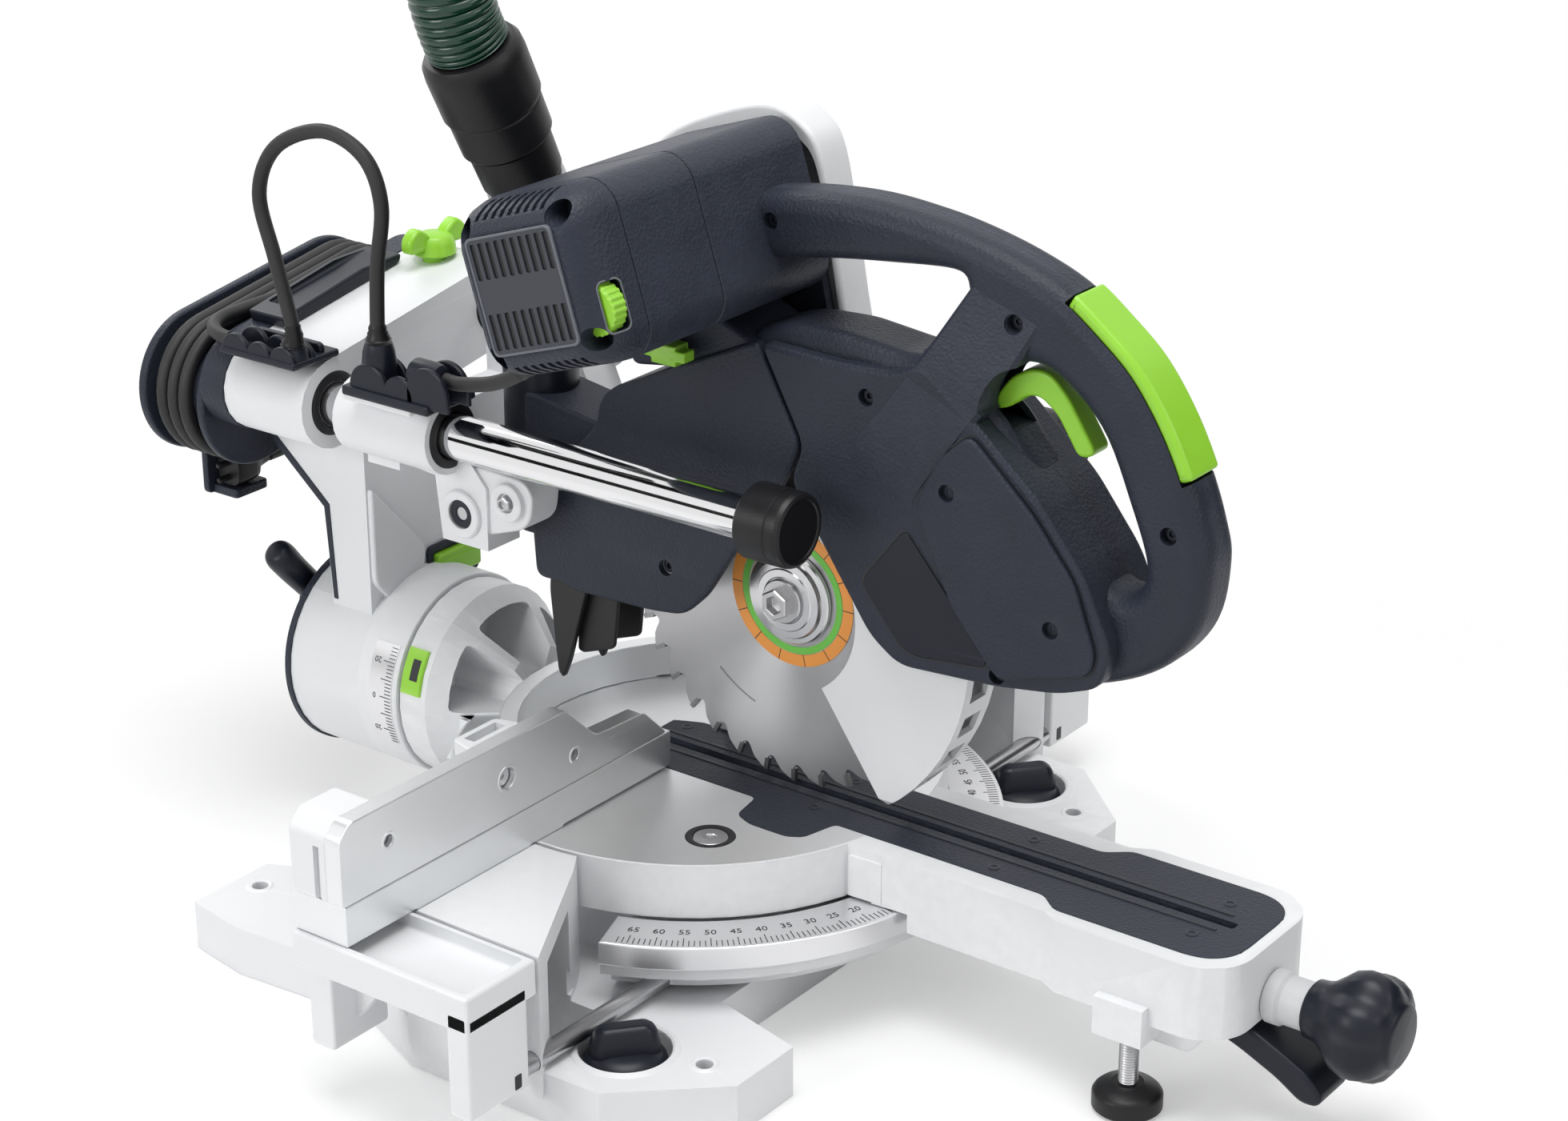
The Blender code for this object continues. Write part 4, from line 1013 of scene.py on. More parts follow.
@dataclass
class Cables:
    """Mains lead on its winder, loop between the clips, lead to the motor and plug."""

    shop: Workshop
    radius: float = 4.0
    loop_x: float = -84.0
    gap: float = 1.2
    lead_z: float = 209.0
    clip_rear: float = 260.0
    bend: float = 32.0
    tail_bend: float = 40.0
    turns: int = 4
    points: int = 40
    spool_left: Pair = (-46.0, 162.0)
    spool_right: Pair = (60.0, 178.0)
    core_r: float = 33.0
    groove: Pair = (289.0, 330.0)
    plug_x: Pair = (-46.0, -6.0)
    plug_y: Pair = (312.0, 329.2)
    plug_z: Pair = (94.0, 114.0)

    def build(self) -> None:
        """Lay every stretch of the lead."""
        self.winding()
        self.loop()
        self.motor_lead()

    def winding_path(self) -> list[Vector]:
        """The turns round the winder, clockwise, seen from the rear."""
        radius = self.core_r + self.radius + 0.6
        first = self.groove[0] + self.radius + 1
        pitch = (self.groove[1] - self.groove[0] - 2 * self.radius - 2) / (self.turns - 0.5)
        ring = belt(self.spool_left, radius, self.spool_right, radius - 0.1, self.points // 2 - 1)
        ring.reverse()
        lengths = [0.0]
        for a, b in zip(ring, ring[1:] + ring[:1]):
            lengths.append(lengths[-1] + math.dist(a, b))
        start = self.points // 2 - 1
        path = []
        for step in range(self.turns * self.points - self.points // 2 + 1):
            loops, i = divmod(start + step, self.points)
            run = (lengths[i] - lengths[start]) / lengths[-1] + loops
            path.append(Vector((ring[i][0], first + pitch * run, ring[i][1])))
        return path

    def lead_in(self) -> list[Vector]:
        """The lead from the rear clip, through a quarter turn, onto the winder's top run."""
        quarter = arc((self.loop_x + self.bend, self.clip_rear + self.gap), self.bend, 180, 90, 12)
        path = [Vector((x, y, self.lead_z)) for x, y in quarter]
        for x, y, rise in ((-25, 293.9, 0), (0, 294.8, 0), (22, 295.5, 1.2)):
            path.append(Vector((x, y, self.lead_z + rise)))
        return path

    def tail(self, start: Vector, end: Vector) -> list[Vector]:
        """The lead's last stretch, two arcs of one radius from the last turn down to the plug."""
        slope = math.atan2(self.spool_right[1] - self.spool_left[1],
                           self.spool_right[0] - self.spool_left[0])
        drop = start.z - end.z
        steep = math.acos((math.cos(slope) + 1 - drop / self.tail_bend) / 2)
        headings = [slope + (steep - slope) * i / 8 for i in range(9)]
        headings += [steep * (1 - i / 8) for i in range(1, 9)]
        path = []
        spot = start.copy()
        for before, after in zip(headings, headings[1:]):
            middle = (before + after) / 2
            spot = spot - Vector((math.cos(middle), 0,
                                  math.sin(middle))) * (self.tail_bend * abs(after - before))
            path.append(Vector((spot.x, start.y + (end.y - start.y) * (start.z - spot.z) / drop, spot.z)))
        return path + [end]

    def winding(self) -> None:
        """Turns of the mains lead from the rear clip to the plug."""
        turns = self.winding_path()
        plug_y, plug_z = sum(self.plug_y) / 2, sum(self.plug_z) / 2
        end = Vector((self.plug_x[1] + self.gap, plug_y, plug_z))
        path = self.lead_in() + turns[1:] + self.tail(turns[-1], end)
        lead = self.cable("lead_winding_cable", path, "tilt_arm", ("lead_winding",))
        plug = self.plug(plug_y, plug_z)

    def plug(self, y: float, z: float) -> bpy.types.Object:
        """The moulded plug under the winder, with its grip and pins."""
        x0, x1 = self.plug_x
        half_y, half_z = (self.plug_y[1] - self.plug_y[0]) / 2, (self.plug_z[1] - self.plug_z[0]) / 2
        rings = []
        for x, share in ((x1, 0.34), (x1 - 5, 0.42), (x1 - 9, 0.5), (x1 - 13, 0.9), (x1 - 17, 0.98),
                         (x0 + 12, 1.0), (x0 + 9, 0.96)):
            outline = round_box_outline((y, z), (half_y * share, half_z * share), 6.0 * share, 0, 5)
            rings.append([(x, u, v) for u, v in outline])
        body = loft(rings)
        for shift in (-4.5, 4.5):
            pin = lathe((x0 + 9.5, y, z + shift), (-1, 0, 0),
                        [(0, 0), (2.0, 0), (2.0, 8), (1.2, 9.2), (0, 9.5)], 16)
            body = merged(body, pin)
        return self.shop.piece("mains_plug_moulded", body, BLACK, "tilt_arm", ("mains_plug",))

    def loop(self) -> None:
        """The standing loop between the two clips, which the slide opens and closes."""
        x = self.loop_x
        route = [(x, 212, 214 + self.gap), (x, 212, 226), (x, 222, 262), (x, 231, 297), (x, 216, 325),
                 (x, 181, 339), (x, 152, 330), (x, 141, 306), (x, 146, 272), (x, 148, 242),
                 (x, 148, 230 + self.gap)]
        path = spline(route, 8)
        obj = self.shop.piece("lead_loop_cable", sweep(path, self.radius, 20), RUBBER, "carriage",
                              ("lead_loop",))
        self.sleeve("loop_relief_rear", path[:9], "tilt_arm")
        self.sleeve("loop_relief_front", path[:-9:-1], "carriage")
        obj.parent = None
        del obj["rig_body"]
        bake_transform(obj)

    def motor_lead(self) -> None:
        """The short lead from the carriage's clip to the motor, which the head's swing bends."""
        x = self.loop_x
        route = [(x, 102 - self.gap, 218), (x, 90, 218), (x - 2, 66, 224), (x - 6, 42, 236),
                 (x - 8, 24, 252)]
        path = spline(route, 8)
        obj = self.shop.piece("motor_lead_cable", sweep(path, self.radius, 20), RUBBER, "carriage",
                              ("motor_lead",))
        self.sleeve("motor_relief", path[:-10:-1], "head")
        obj.parent = None
        del obj["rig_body"]
        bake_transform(obj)

    def sleeve(self, name: str, path: Sequence[Vector], body: str) -> None:
        """A tapered, ringed strain relief on a lead, from its housing outwards."""
        radii = []
        for i in range(len(path)):
            share = i / (len(path) - 1)
            radii.append(self.radius + 3.2 - 2.6 * share - (0.5 if i % 2 else 0.0))
        self.shop.piece(name, sweep(path, radii, 20), BLACK, body, sharp=60)

    def cable(self, name: str, path: Sequence[Vector], body: str,
              replaces: Iterable[str]) -> bpy.types.Object:
        """A round cable along a path, on one body."""
        return self.shop.piece(name, sweep(path, self.radius, 16), RUBBER, body, replaces)


@dataclass
class Base:
    """Base casting, scale, fences, table extensions and clamp knobs."""

    shop: Workshop
    scale_r: Pair = (138.5, 168.0)
    scale_z: Pair = (-44.0, -30.4)
    fence_thick: float = 10.0
    fence_low: float = 22.3
    fence_top: float = 66.0
    fence_end: float = 280.0
    fence_holes: tuple[Pair, ...] = ((246, 46), (158, 45), (105, 38))
    fence_hole_r: Triple = (3.4, 6.0, 3.4)
    extension_x: Pair = (230.4, 281.0)
    extension_y: Pair = (-80.0, 36.0)
    rod: Pair = (-74.0, -60.0)
    knob: Pair = (184.0, -96.0)
    foot_holes: tuple[Pair, ...] = ((172.0, -137.0), (171.0, 174.0))

    def build(self) -> None:
        """Build every piece of the base."""
        self.casting()
        self.scale()
        self.shop.refined("fixed_fence", ALUMINIUM, 0.8, 2, (box((-116, 116), (-3, 80), (-2, 1.5)),))
        for side in Side:
            self.sliding_fence(side)
            self.extension(side)
            self.clamp_knob(side)

    def casting(self) -> None:
        """The base casting, thinned under the scale, with rims round its knobs and screw holes."""
        under = plate(Axis.Z, (-64, -50), sector((0, 0), (150, 176), -166, -14, 70))
        self.shop.refined("base_casting", WHITE, 2.6, 3, (under,))
        for side in Side:
            x, y = side.value * self.knob[0], self.knob[1]
            rim = lathe((x, y, -67.6), (0, 0, 1),
                        [(24.0, 0), (24.0, 1.4), (25.2, 2.2), (27.0, 1.6), (28.6, 0.2), (24.0, 0)], 64)
            self.shop.piece("knob_recess_rim_" + side.word, rim, WHITE, "base")
            for i, (hole_x, hole_y) in enumerate(self.foot_holes):
                ring = lathe((side.value * hole_x, hole_y, -67.4), (0, 0, 1),
                             [(4.5, 0), (4.6, 0.9), (6.2, 1.3), (7.8, 0.4), (4.5, 0)], 40)
                self.shop.piece(f"foot_hole_rim_{side.word}_{i}", ring, WHITE, "base")

    def scale(self) -> None:
        """The miter scale with its graduation and plain numbers."""
        ring = plate(Axis.Z, self.scale_z, sector((0, 0), self.scale_r, -160, -20, 96), rounding=1.4)
        self.shop.piece("miter_scale_ring", ring, SCALE, "base", ("miter_scale",))
        top = self.scale_z[1]
        marks = bmesh.new()
        for degree in range(-67, 68):
            reach = 8.0 if degree % 5 == 0 else 5.5
            line = box((-0.24, 0.24), (-self.scale_r[1] + 2.4, -self.scale_r[1] + 2.4 + reach),
                       (top - 0.1, top + 0.12))
            marks = merged(marks, moved(line, Matrix.Rotation(math.radians(degree), 4, "Z")))
        for degree in range(-65, 66, 5):
            figure = number(str(abs(degree)), 6.6, 0.22)
            place = Matrix.Rotation(math.radians(degree), 4, "Z") @ Matrix.Translation((0, -151.5, top))
            marks = merged(marks, moved(figure, place))
        self.shop.piece("miter_scale_marks", marks, INK, "base")

    def sliding_fence(self, side: Side) -> None:
        """A sliding fence half with its end block, stop bracket, holes and eyelets."""
        low, top, end = self.fence_low, self.fence_top, self.fence_end
        face = [(end, low), (end, 58), (end - 8, top), (112, top), (88, 43), (48, 41), (30, 23.5),
                (30, low)]
        holes = [arc((side.value * x, z), r - 0.2, 0, 350, 35) for (x, z),
                 r in zip(self.fence_holes, self.fence_hole_r)]
        board = plate(Axis.Y, (0, self.fence_thick), flip(soft_corners(face, 3), side), holes, 0.7, 2)
        body = "fence_" + side.word
        self.shop.piece("sliding_fence_board_" + side.word, board, ALUMINIUM, body,
                        ("sliding_fence_" + side.word,))
        block = [(end, low), (end, 58), (end - 8, top), (end - 34, top), (end - 46, low)]
        cap = plate(Axis.Y, (self.fence_thick - 0.5, 34), flip(soft_corners(block, 3), side), (), 1.2, 3)
        groove = box(span(side, end - 3, end + 4), (14, 18), (low - 2, 52))
        self.shop.piece("sliding_fence_block_" + side.word, carved(cap, groove), WHITE, body)
        stop = plate(Axis.Z, (52, top - 0.2),
                     flip(soft_corners([(136, 9.5), (176, 9.5), (172, 24), (140, 24)], 3), side), (), 1,
                     2)
        window = box(span(side, 144, 168), (13, 20), (top - 8, top + 4))
        self.shop.piece("fence_stop_bracket_" + side.word, carved(stop, window), WHITE, body)
        for i, (x, z) in enumerate(self.fence_holes):
            r = self.fence_hole_r[i]
            ring = lathe((side.value * x, -0.1, z), (0, -1, 0),
                         [(r, -1.5), (r, 0.1), (r + 1.2, 0.2), (r + 1.6, -0.2), (r + 1.6, -1.5)], 40)
            self.shop.piece(f"fence_eyelet_{side.word}_{i}", ring, ALUMINIUM, body)
            plug = lathe((side.value * x, 5.5, z), (0, -1, 0),
                         [(0, 0.4), (1.2, 0.4), (1.6, 1.4), (r - 0.9, 1.6), (r - 0.6, 1), (r - 0.6, -3),
                          (0, -3)], 32)
            self.shop.piece(f"fence_screw_{side.word}_{i}", plug, STEEL, body)

    def extension(self, side: Side) -> None:
        """A table extension with a dished top, its legs and its steel guide rod."""
        (near, far), (front, rear) = self.extension_x, self.extension_y
        name = "table_extension_" + side.word
        tray = box(span(side, near, far), (front, rear), (-20, 0), 1.8, 3)
        dish = box(span(side, near + 3.6, far - 4.2), (front + 5, rear - 4.5), (-7.5, 6), 2.0, 2)
        body = "extension_" + side.word
        self.shop.piece(name + "_tray", carved(tray, dish), WHITE, body, (name,), 0.6, 2)
        leg = plate(Axis.X, span(side, 238, far),
                    soft_corners([(front, -10), (front, -68), (-66, -68), (-66, -10)], 3), (), 1.6, 3)
        self.shop.piece(name + "_front_leg", leg, WHITE, body)
        slot = plate(Axis.Y, (front - 0.08, front + 1),
                     flip(soft_corners([(244, -65), (249, -65), (249, -57), (244, -57)], 1), side))
        self.shop.piece(name + "_slot", slot, INK, body)
        foot = plate(Axis.X, span(side, 240, 279),
                     soft_corners([(12, -10), (12, -62), (28, -62), (28, -10)], 3), (), 1.6, 3)
        web = plate(Axis.X, span(side, 257, 262),
                    [(-64, -12), (-64, -52), (-48, -28), (-6, -28), (12, -50), (12, -12)])
        self.shop.piece(name + "_rear_leg", merged(foot, web), WHITE, body)
        y, z = self.rod
        guide = lathe((side.value * 40, y, z), (side.value, 0, 0),
                      [(0, -0.3), (4.2, -0.3), (5.1, 0.8), (5.1, 200), (0, 200)], 32)
        self.shop.piece(f"extension_rod_{side.word}_bar", guide, STEEL, "extension_" + side.word)

    def clamp_knob(self, side: Side) -> None:
        """A winged knob in the foot's round recess."""
        x, y = side.value * self.knob[0], self.knob[1]
        disc = lathe((x, y, -79.7), (0, 0, 1),
                     [(0, 0), (20.5, 0), (22, 1.5), (22, 5), (21, 9), (18, 12.5), (12, 14), (0, 14.4)],
                     48)
        rings = []
        for z, wide, thick in ((-72, 1.12, 1.35), (-67, 1.1, 1.22), (-62, 1.08, 1.1), (-58, 1.02, 1.0),
                               (-55, 0.92, 0.84), (-53.2, 0.78, 0.6), (-52.6, 0.6, 0.36)):
            outline = round_box_outline((0, 0), (16.4 * wide, 7.4 * thick), 6.4 * min(1, thick), -40, 6)
            rings.append([(x + u, y + v, z) for u, v in outline])
        name = "clamp_knob_" + side.word
        self.shop.piece(name + "_winged", merged(disc, loft(rings)), DARK_SMOOTH, "clamp_" + side.word,
                        (name,), sharp=50)


@dataclass
class Turntable:
    """Disc with arm and drum, kerf insert, pointer, clamp knob, detent lever and front foot."""

    shop: Workshop
    disc_r: float = 137.0
    hole: Pair = (-78.0, -68.0)
    knob_z: float = -30.0
    foot: Pair = (-40.0, -302.0)

    insert = [(-21.7, 35.7), (-28.6, 20), (-28.6, -60), (-50, -64), (-55, -76), (-55, -100), (-50, -108),
              (-28.6, -113), (-28.6, -242), (-38.5, -254), (-38.5, -330), (-36.6, -339), (-31.6, -346),
              (-24.5, -350.2), (-16, -351.5), (16, -351.5), (24.5, -350.2), (31.6, -346), (36.6, -339),
              (38.5, -330), (38.5, -254), (28.6, -242), (28.6, 20), (21.7, 35.7)]

    def build(self) -> None:
        """Build every piece that turns with the table."""
        self.disc()
        self.kerf()
        self.pointer()
        self.knob()
        self.front()
        self.shop.dress(STEEL, "pivot_bolt")

    def disc(self) -> None:
        """Disc, arm, foot bracket, neck and drum, with the planed top and the cone's openings."""
        openings = []
        for first, last in ((130, 178), (66, 118), (8, 54)):
            outline = soft_corners(sector((0, 0), (17, 50), first, last, 6), 4, 3)
            openings.append(plate(Axis.Y, (104, 166), outline))
        seat = lathe((0, 171, 0), (0, 1, 0), [(52, 0), (60.8, 0), (60.8, 40), (52, 40), (52, 0)], 96)
        corners = []
        for side in Side:
            rounding = [(50, -330), *arc((22, -332), 26, 0, -90, 12), (20, -364), (50, -364)]
            corners.append(plate(Axis.Z, (-90, 8), flip(rounding, side)))
        self.shop.refined("turntable", WHITE, 1.4, 3, (*openings, seat, *corners))
        gusset = [(-252, -40), (-291, -58), (-331, -58), (-345, -40)]
        bracket = plate(Axis.X, (-33, -24), soft_corners(gusset, 3), (), 1.6, 3)
        self.shop.piece("front_foot_bracket", bracket, WHITE, "turntable")
        web = plate(Axis.X, (-22, 16), soft_corners([(-258, -44), (-284, -65), (-326, -65), (-330, -44)],
                                                    4), (), 2.0, 3)
        self.shop.piece("arm_front_web", web, WHITE, "turntable")
        reach = math.sqrt((self.disc_r - 1.4) ** 2 - 28.9 ** 2)
        inner = [(x * 1.005, y) for x, y in self.insert if y > -120]
        left = [p for p in inner if p[0] < 0]
        right_end = math.degrees(math.atan2(-reach, 28.9))
        rim = arc((0, 0), self.disc_r - 1.4, right_end, right_end + 360 - 2 * (right_end + 90), 120)
        behind = [p for p in reversed(left) if p[1] > -113]
        outline = rim + [(-28.9, -113)] + behind + [(21.8, 35.9), (28.9, 20)]
        top = plate(Axis.Z, (-0.4, 0.22), outline, [arc(self.hole, 13.6, 0, 345, 40)])
        self.shop.piece("table_disc_top", top, TABLE_TOP, "turntable")
        ring = lathe((*self.hole, -1.2), (0, 0, 1),
                     [(9.6, 0), (9.6, 1.1), (10.4, 1.5), (12.8, 1.5), (13.4, 1.2), (13.4, 0), (9.6, 0)],
                     64)
        self.shop.piece("pivot_eye_ring", ring, INK, "turntable")
        plug = lathe((*self.hole, -1.6), (0, 0, 1),
                     [(0, 0.6), (3.4, 0.6), (3.8, 1.3), (8.8, 1.5), (9.4, 1.1), (9.4, 0)], 64)
        self.shop.piece("pivot_eye_plug", plug, STEEL, "turntable")
        self.window()

    def window(self) -> None:
        """The bare lime window of the bevel scale on the drum's left."""
        rings = []
        for y in (155.5, 156.2, 169.6, 170.2):
            lift = 0.0 if y in (155.5, 170.2) else 0.7
            rings.append([(x, y, z) for x, z in sector((0, 0), (54.5, 58.8 + lift), 144, 170, 12)])
        self.shop.piece("bevel_window", loft(rings), LIME, "turntable")
        rings = []
        for y in (158.5, 164.0):
            rings.append([(x, y, z) for x, z in sector((0, 0), (57, 59.75), 150, 162, 8)])
        self.shop.piece("bevel_window_pane", loft(rings), INK, "turntable")

    def kerf(self) -> None:
        """The dark kerf insert with its slot, ribs and screws, and a dark strip under the slot as painted
        shade.
        """
        slot = soft_corners([(-3, 34), (3, 34), (3, -336), (-3, -336)], 2)
        board = plate(Axis.Z, (-0.6, 0.5), soft_corners(self.insert, 4), [slot], 0.4, 2)
        core = plate(Axis.Z, (-13.7, -0.4), [(-21.4, 35.4), (21.4, 35.4), (21.4, -350), (-21.4, -350)],
                     [slot])
        self.shop.piece("kerf_insert_board", merged(board, core), DARK, "turntable", ("kerf_insert",))
        # A dark strip under the slot paints the shade seen down through it.
        rail = plate(Axis.Z, (-13.95, -13.72), [(-9, 34), (9, 34), (9, -345), (-9, -345)])
        self.shop.piece("kerf_underlay", rail, INK, "turntable")
        for side in Side:
            x = side.value * 9.0
            rib = plate(Axis.Z, (0, 1.0), soft_corners([(x - 1.1, 30), (x + 1.1, 30), (x + 1.1, -330),
                                                        (x - 1.1, -330)], 1), (), 0.3, 2)
            self.shop.piece("kerf_rib_" + side.word, rib, DARK_SMOOTH, "turntable")
            for i, y in enumerate((24, -92, -206, -322)):
                self.shop.screw(f"insert_screw_{i}_{side.word}", (side.value * 19, y, 0.55), (0, 0, 1),
                                "turntable", 3.4, DARK_SMOOTH)

    def pointer(self) -> None:
        """The block beside the arm with its pointer over the scale."""
        outline = [(-40, -132), (-43.6, -132), (-42.6, -152), (-40, -152)]
        block = plate(Axis.Z, (-29.2, -5), outline, (), 0.8, 3)
        tip = plate(Axis.Z, (-29.8, -28.6), [(-42.6, -146), (-40, -146), (-40, -163), (-41.4, -165)])
        self.shop.piece("scale_pointer_block", merged(block, tip), WHITE, "turntable")

    def knob(self) -> None:
        """The lobed miter clamp knob on its steel shank."""
        z = self.knob_z
        shank = lathe((0, 0, z), (0, -1, 0),
                      [(0, 358.3), (13, 358.3), (14, 359.5), (14, 366), (12.6, 368), (12.6, 382),
                       (0, 382)], 48)
        self.shop.piece("miter_knob_shank", shank, PALE, "miter_knob")
        profile = [(0.0, 380), (13, 380), (15, 381.5), (15.5, 386), (17, 390), (22, 396), (26.8, 401.5),
                   (29, 408), (29, 413), (27.8, 418), (25, 422.5), (21, 425.5), (17.6, 426.6),
                   (16.6, 428.4), (14, 429.6), (0.0, 430)]
        rings = []
        for r, d in profile:
            ring = []
            for k in range(120):
                a = 2 * math.pi * k / 120
                dip = (0.5 + 0.5 * math.cos(6 * a)) ** 1.6
                lobe = 1 - 0.12 * dip * max(0.0, min(1.0, (r - 15.4) / 9))
                ring.append((max(r, 0.05) * lobe * math.cos(a), -d,
                             z + max(r, 0.05) * lobe * math.sin(a)))
            rings.append(ring)
        self.shop.piece("miter_knob_lobed", loft(rings), DARK_SMOOTH, "miter_knob", ("miter_knob",),
                        sharp=50)

    def front(self) -> None:
        """Detent lever, front foot with its threaded screw."""
        outline = [(-338, -44.5), (-352, -43), (-372, -52), (-389, -60), (-396, -70), (-393, -75.5),
                   (-384, -76), (-370, -67), (-350, -58), (-336, -53)]
        lever = plate(Axis.X, (-15, 15), soft_corners(outline, 5), (), 3.0, 4)
        self.shop.piece("detent_lever_moulded", lever, DARK_SMOOTH, "detent_lever", ("detent_lever",),
                        sharp=50)
        x, y = self.foot
        pad = lathe((x, y, -95), (0, 0, 1),
                    [(0, 0), (16.5, 0), (18, 1.5), (18, 8.5), (17.2, 10), (15, 12), (10, 13.6), (8, 15),
                     (0, 15)], 48)
        self.shop.piece("front_foot_pad", pad, BLACK, "front_foot", ("front_foot",))
        thread = [(0, 0)]
        for k in range(44):
            thread += [(4.5, 1.5 * k), (5.1, 1.5 * k + 0.75)]
        thread += [(4.5, 66), (0, 66)]
        self.shop.piece("front_foot_screw", lathe((x, y, -81), (0, 0, 1), thread, 28), STEEL,
                        "front_foot")


@dataclass
class TiltArm:
    """Tilt drum, column, rail housing, rails, caps, winder, tray, lever, button and lock knob."""

    shop: Workshop
    drum_r: float = 60.0
    rail_r: float = 12.5
    rail_left: Pair = (-62.0, 177.0)
    rail_right: Pair = (74.0, 200.0)
    rail_fronts: Pair = (-114.0, -192.0)
    rail_rear: float = 278.0
    cap_radii: Pair = (20.0, 14.6)
    cap_length: float = 28.0
    housing: Pair = (205.0, 283.0)
    spool_left: Pair = (-46.0, 162.0)
    spool_right: Pair = (60.0, 178.0)
    spool_radii: Pair = (33.0, 42.0)
    spool_y: tuple[float, float, float, float] = (283.4, 289.0, 330.0, 336.0)
    clip_x: Pair = (-94.0, -58.0)

    def build(self) -> None:
        """Build every piece of the tilting arm."""
        self.arm()
        self.rails()
        self.winder()
        self.clip()
        self.tray()
        self.controls()

    def arm(self) -> None:
        """Drum, column and rail housing, with pads, wipers, bevel scale and dark rear trim."""
        self.shop.refined("tilt_arm", WHITE, 3.0, 3)
        pad = soft_corners([(-41, 121), (2, 73), (-3, 42), (-8, 37), (-24, 42), (-41, 62)], 5)
        self.shop.piece("column_pad", plate(Axis.Y, (201.2, 206), pad, (), 1.8, 3), WHITE, "tilt_arm")
        frame = soft_corners([(4.5, 69), (47, 69), (47, 43.6), (4.5, 43.6)], 4)
        room = soft_corners([(8.4, 64.6), (45.6, 64.6), (45.6, 47.4), (8.4, 47.4)], 2)
        self.shop.piece("button_frame", plate(Axis.Y, (202.2, 206), frame, [room], 0.8, 2), DARK,
                        "tilt_arm")
        skirt = belt(self.rail_left, 26.8, self.rail_right, 26.7)
        self.shop.piece("housing_rear_skirt",
                        plate(Axis.Y, (265, self.housing[1] + 0.2), skirt, (), 0.8, 2), DARK, "tilt_arm")
        back = [(283.1, 166), (283.1, 139.8), (262.1, 121.6), (238.2, 101.6), (234.3, 46), (231, 46),
                (234, 104), (258.6, 125), (278.6, 142), (278.6, 166)]
        self.shop.piece("column_rear_trim", plate(Axis.X, (-42.7, 42.7), back, (), 0.6, 2), DARK,
                        "tilt_arm")
        rear = lathe((0, 255.2, 0), (0, 1, 0),
                     [(50, 0), (60.9, 0), (61.2, 0.5), (61.2, 3.6), (60, 4.8), (0, 4.8)], 96)
        self.shop.piece("drum_rear_cover", rear, DARK, "tilt_arm")
        skirt = lathe((0, 172, 0), (0, 1, 0),
                      [(52.7, 0), (58.6, 0), (59.7, 0.4), (60.2, 1.2), (60.2, 30), (52.7, 30), (52.7, 0)],
                      96)
        self.shop.piece("drum_skirt", skirt, WHITE, "tilt_arm")
        self.bevel_scale()
        for i, (x, z) in enumerate((self.rail_left, self.rail_right)):
            wiper = lathe((x, self.housing[0] + 0.6, z), (0, -1, 0),
                          [(13.0, 0), (13.0, 1.4), (13.8, 2.2), (16.0, 2.2), (18.2, 0.8), (18.4, 0),
                           (13.0, 0)], 64)
            self.shop.piece(f"housing_wiper_{i}", wiper, BLACK, "tilt_arm")

    def bevel_scale(self) -> None:
        """The metal bevel scale on the drum's left, with its graduation."""
        rings = []
        for y in (175.6, 193.0):
            rings.append([(x, y, z) for x, z in sector((0, 0), (58, self.drum_r + 0.55), 146, 205, 24)])
        self.shop.piece("bevel_scale_band", loft(rings), SCALE, "tilt_arm")
        marks = bmesh.new()
        for k in range(29):
            a = math.radians(148 + 2 * k)
            reach = 8.0 if k % 5 == 4 else 4.5
            line = box((-0.22, 0.22), (176.2, 176.2 + reach), (-0.2, 0.2))
            place = Matrix.Translation(((self.drum_r + 0.52) * math.cos(a), 0,
                                        (self.drum_r + 0.52) * math.sin(a)))
            marks = merged(marks, moved(line, place @ Matrix.Rotation(math.pi / 2 - a, 4, "Y")))
            if k % 10 == 4:
                figure = moved(number(str(abs(k - 14) * 2), 5.0, 0.2),
                               Matrix.Rotation(math.pi / 2, 4, "Z"))
                spot = Matrix.Translation(((self.drum_r + 0.55) * math.cos(a), 188.5,
                                           (self.drum_r + 0.55) * math.sin(a)))
                marks = merged(marks, moved(figure, spot @ Matrix.Rotation(math.pi / 2 - a, 4, "Y")))
        self.shop.piece("bevel_scale_marks", marks, INK, "tilt_arm")

    def rails(self) -> None:
        """Chrome rails with their black end caps."""
        rows = ((Side.LEFT, self.rail_left, self.rail_fronts[0], self.cap_radii[0]),
                (Side.RIGHT, self.rail_right, self.rail_fronts[1], self.cap_radii[1]))
        for side, (x, z), front, cap_r in rows:
            start = front + 12
            bar = lathe((x, start, z), (0, 1, 0),
                        [(0, 0), (self.rail_r, 0), (self.rail_r, self.rail_rear - start),
                         (0, self.rail_rear - start)], 96)
            self.shop.piece(f"rail_{side.word}_bar", bar, CHROME, "tilt_arm", ("rail_" + side.word,))
            bore = self.rail_r + 0.3
            length = self.cap_length
            cap = lathe((x, front, z), (0, 1, 0),
                        [(0, 1.0), (cap_r - 4.2, 1.0), (cap_r - 3.6, 0.2), (cap_r - 2.6, 0),
                         (cap_r - 1, 0.8), (cap_r - 0.2, 2.6), (cap_r, 4), (cap_r, 8), (cap_r - 0.5, 8.5),
                         (cap_r - 0.5, 9.1), (cap_r, 9.6), (cap_r, length - 1), (cap_r - 0.8, length),
                         (bore, length), (bore, 11.7), (0, 11.7)], 72)
            self.shop.piece(f"rail_cap_{side.word}_turned", cap, BLACK, "tilt_arm",
                            ("rail_cap_" + side.word,))

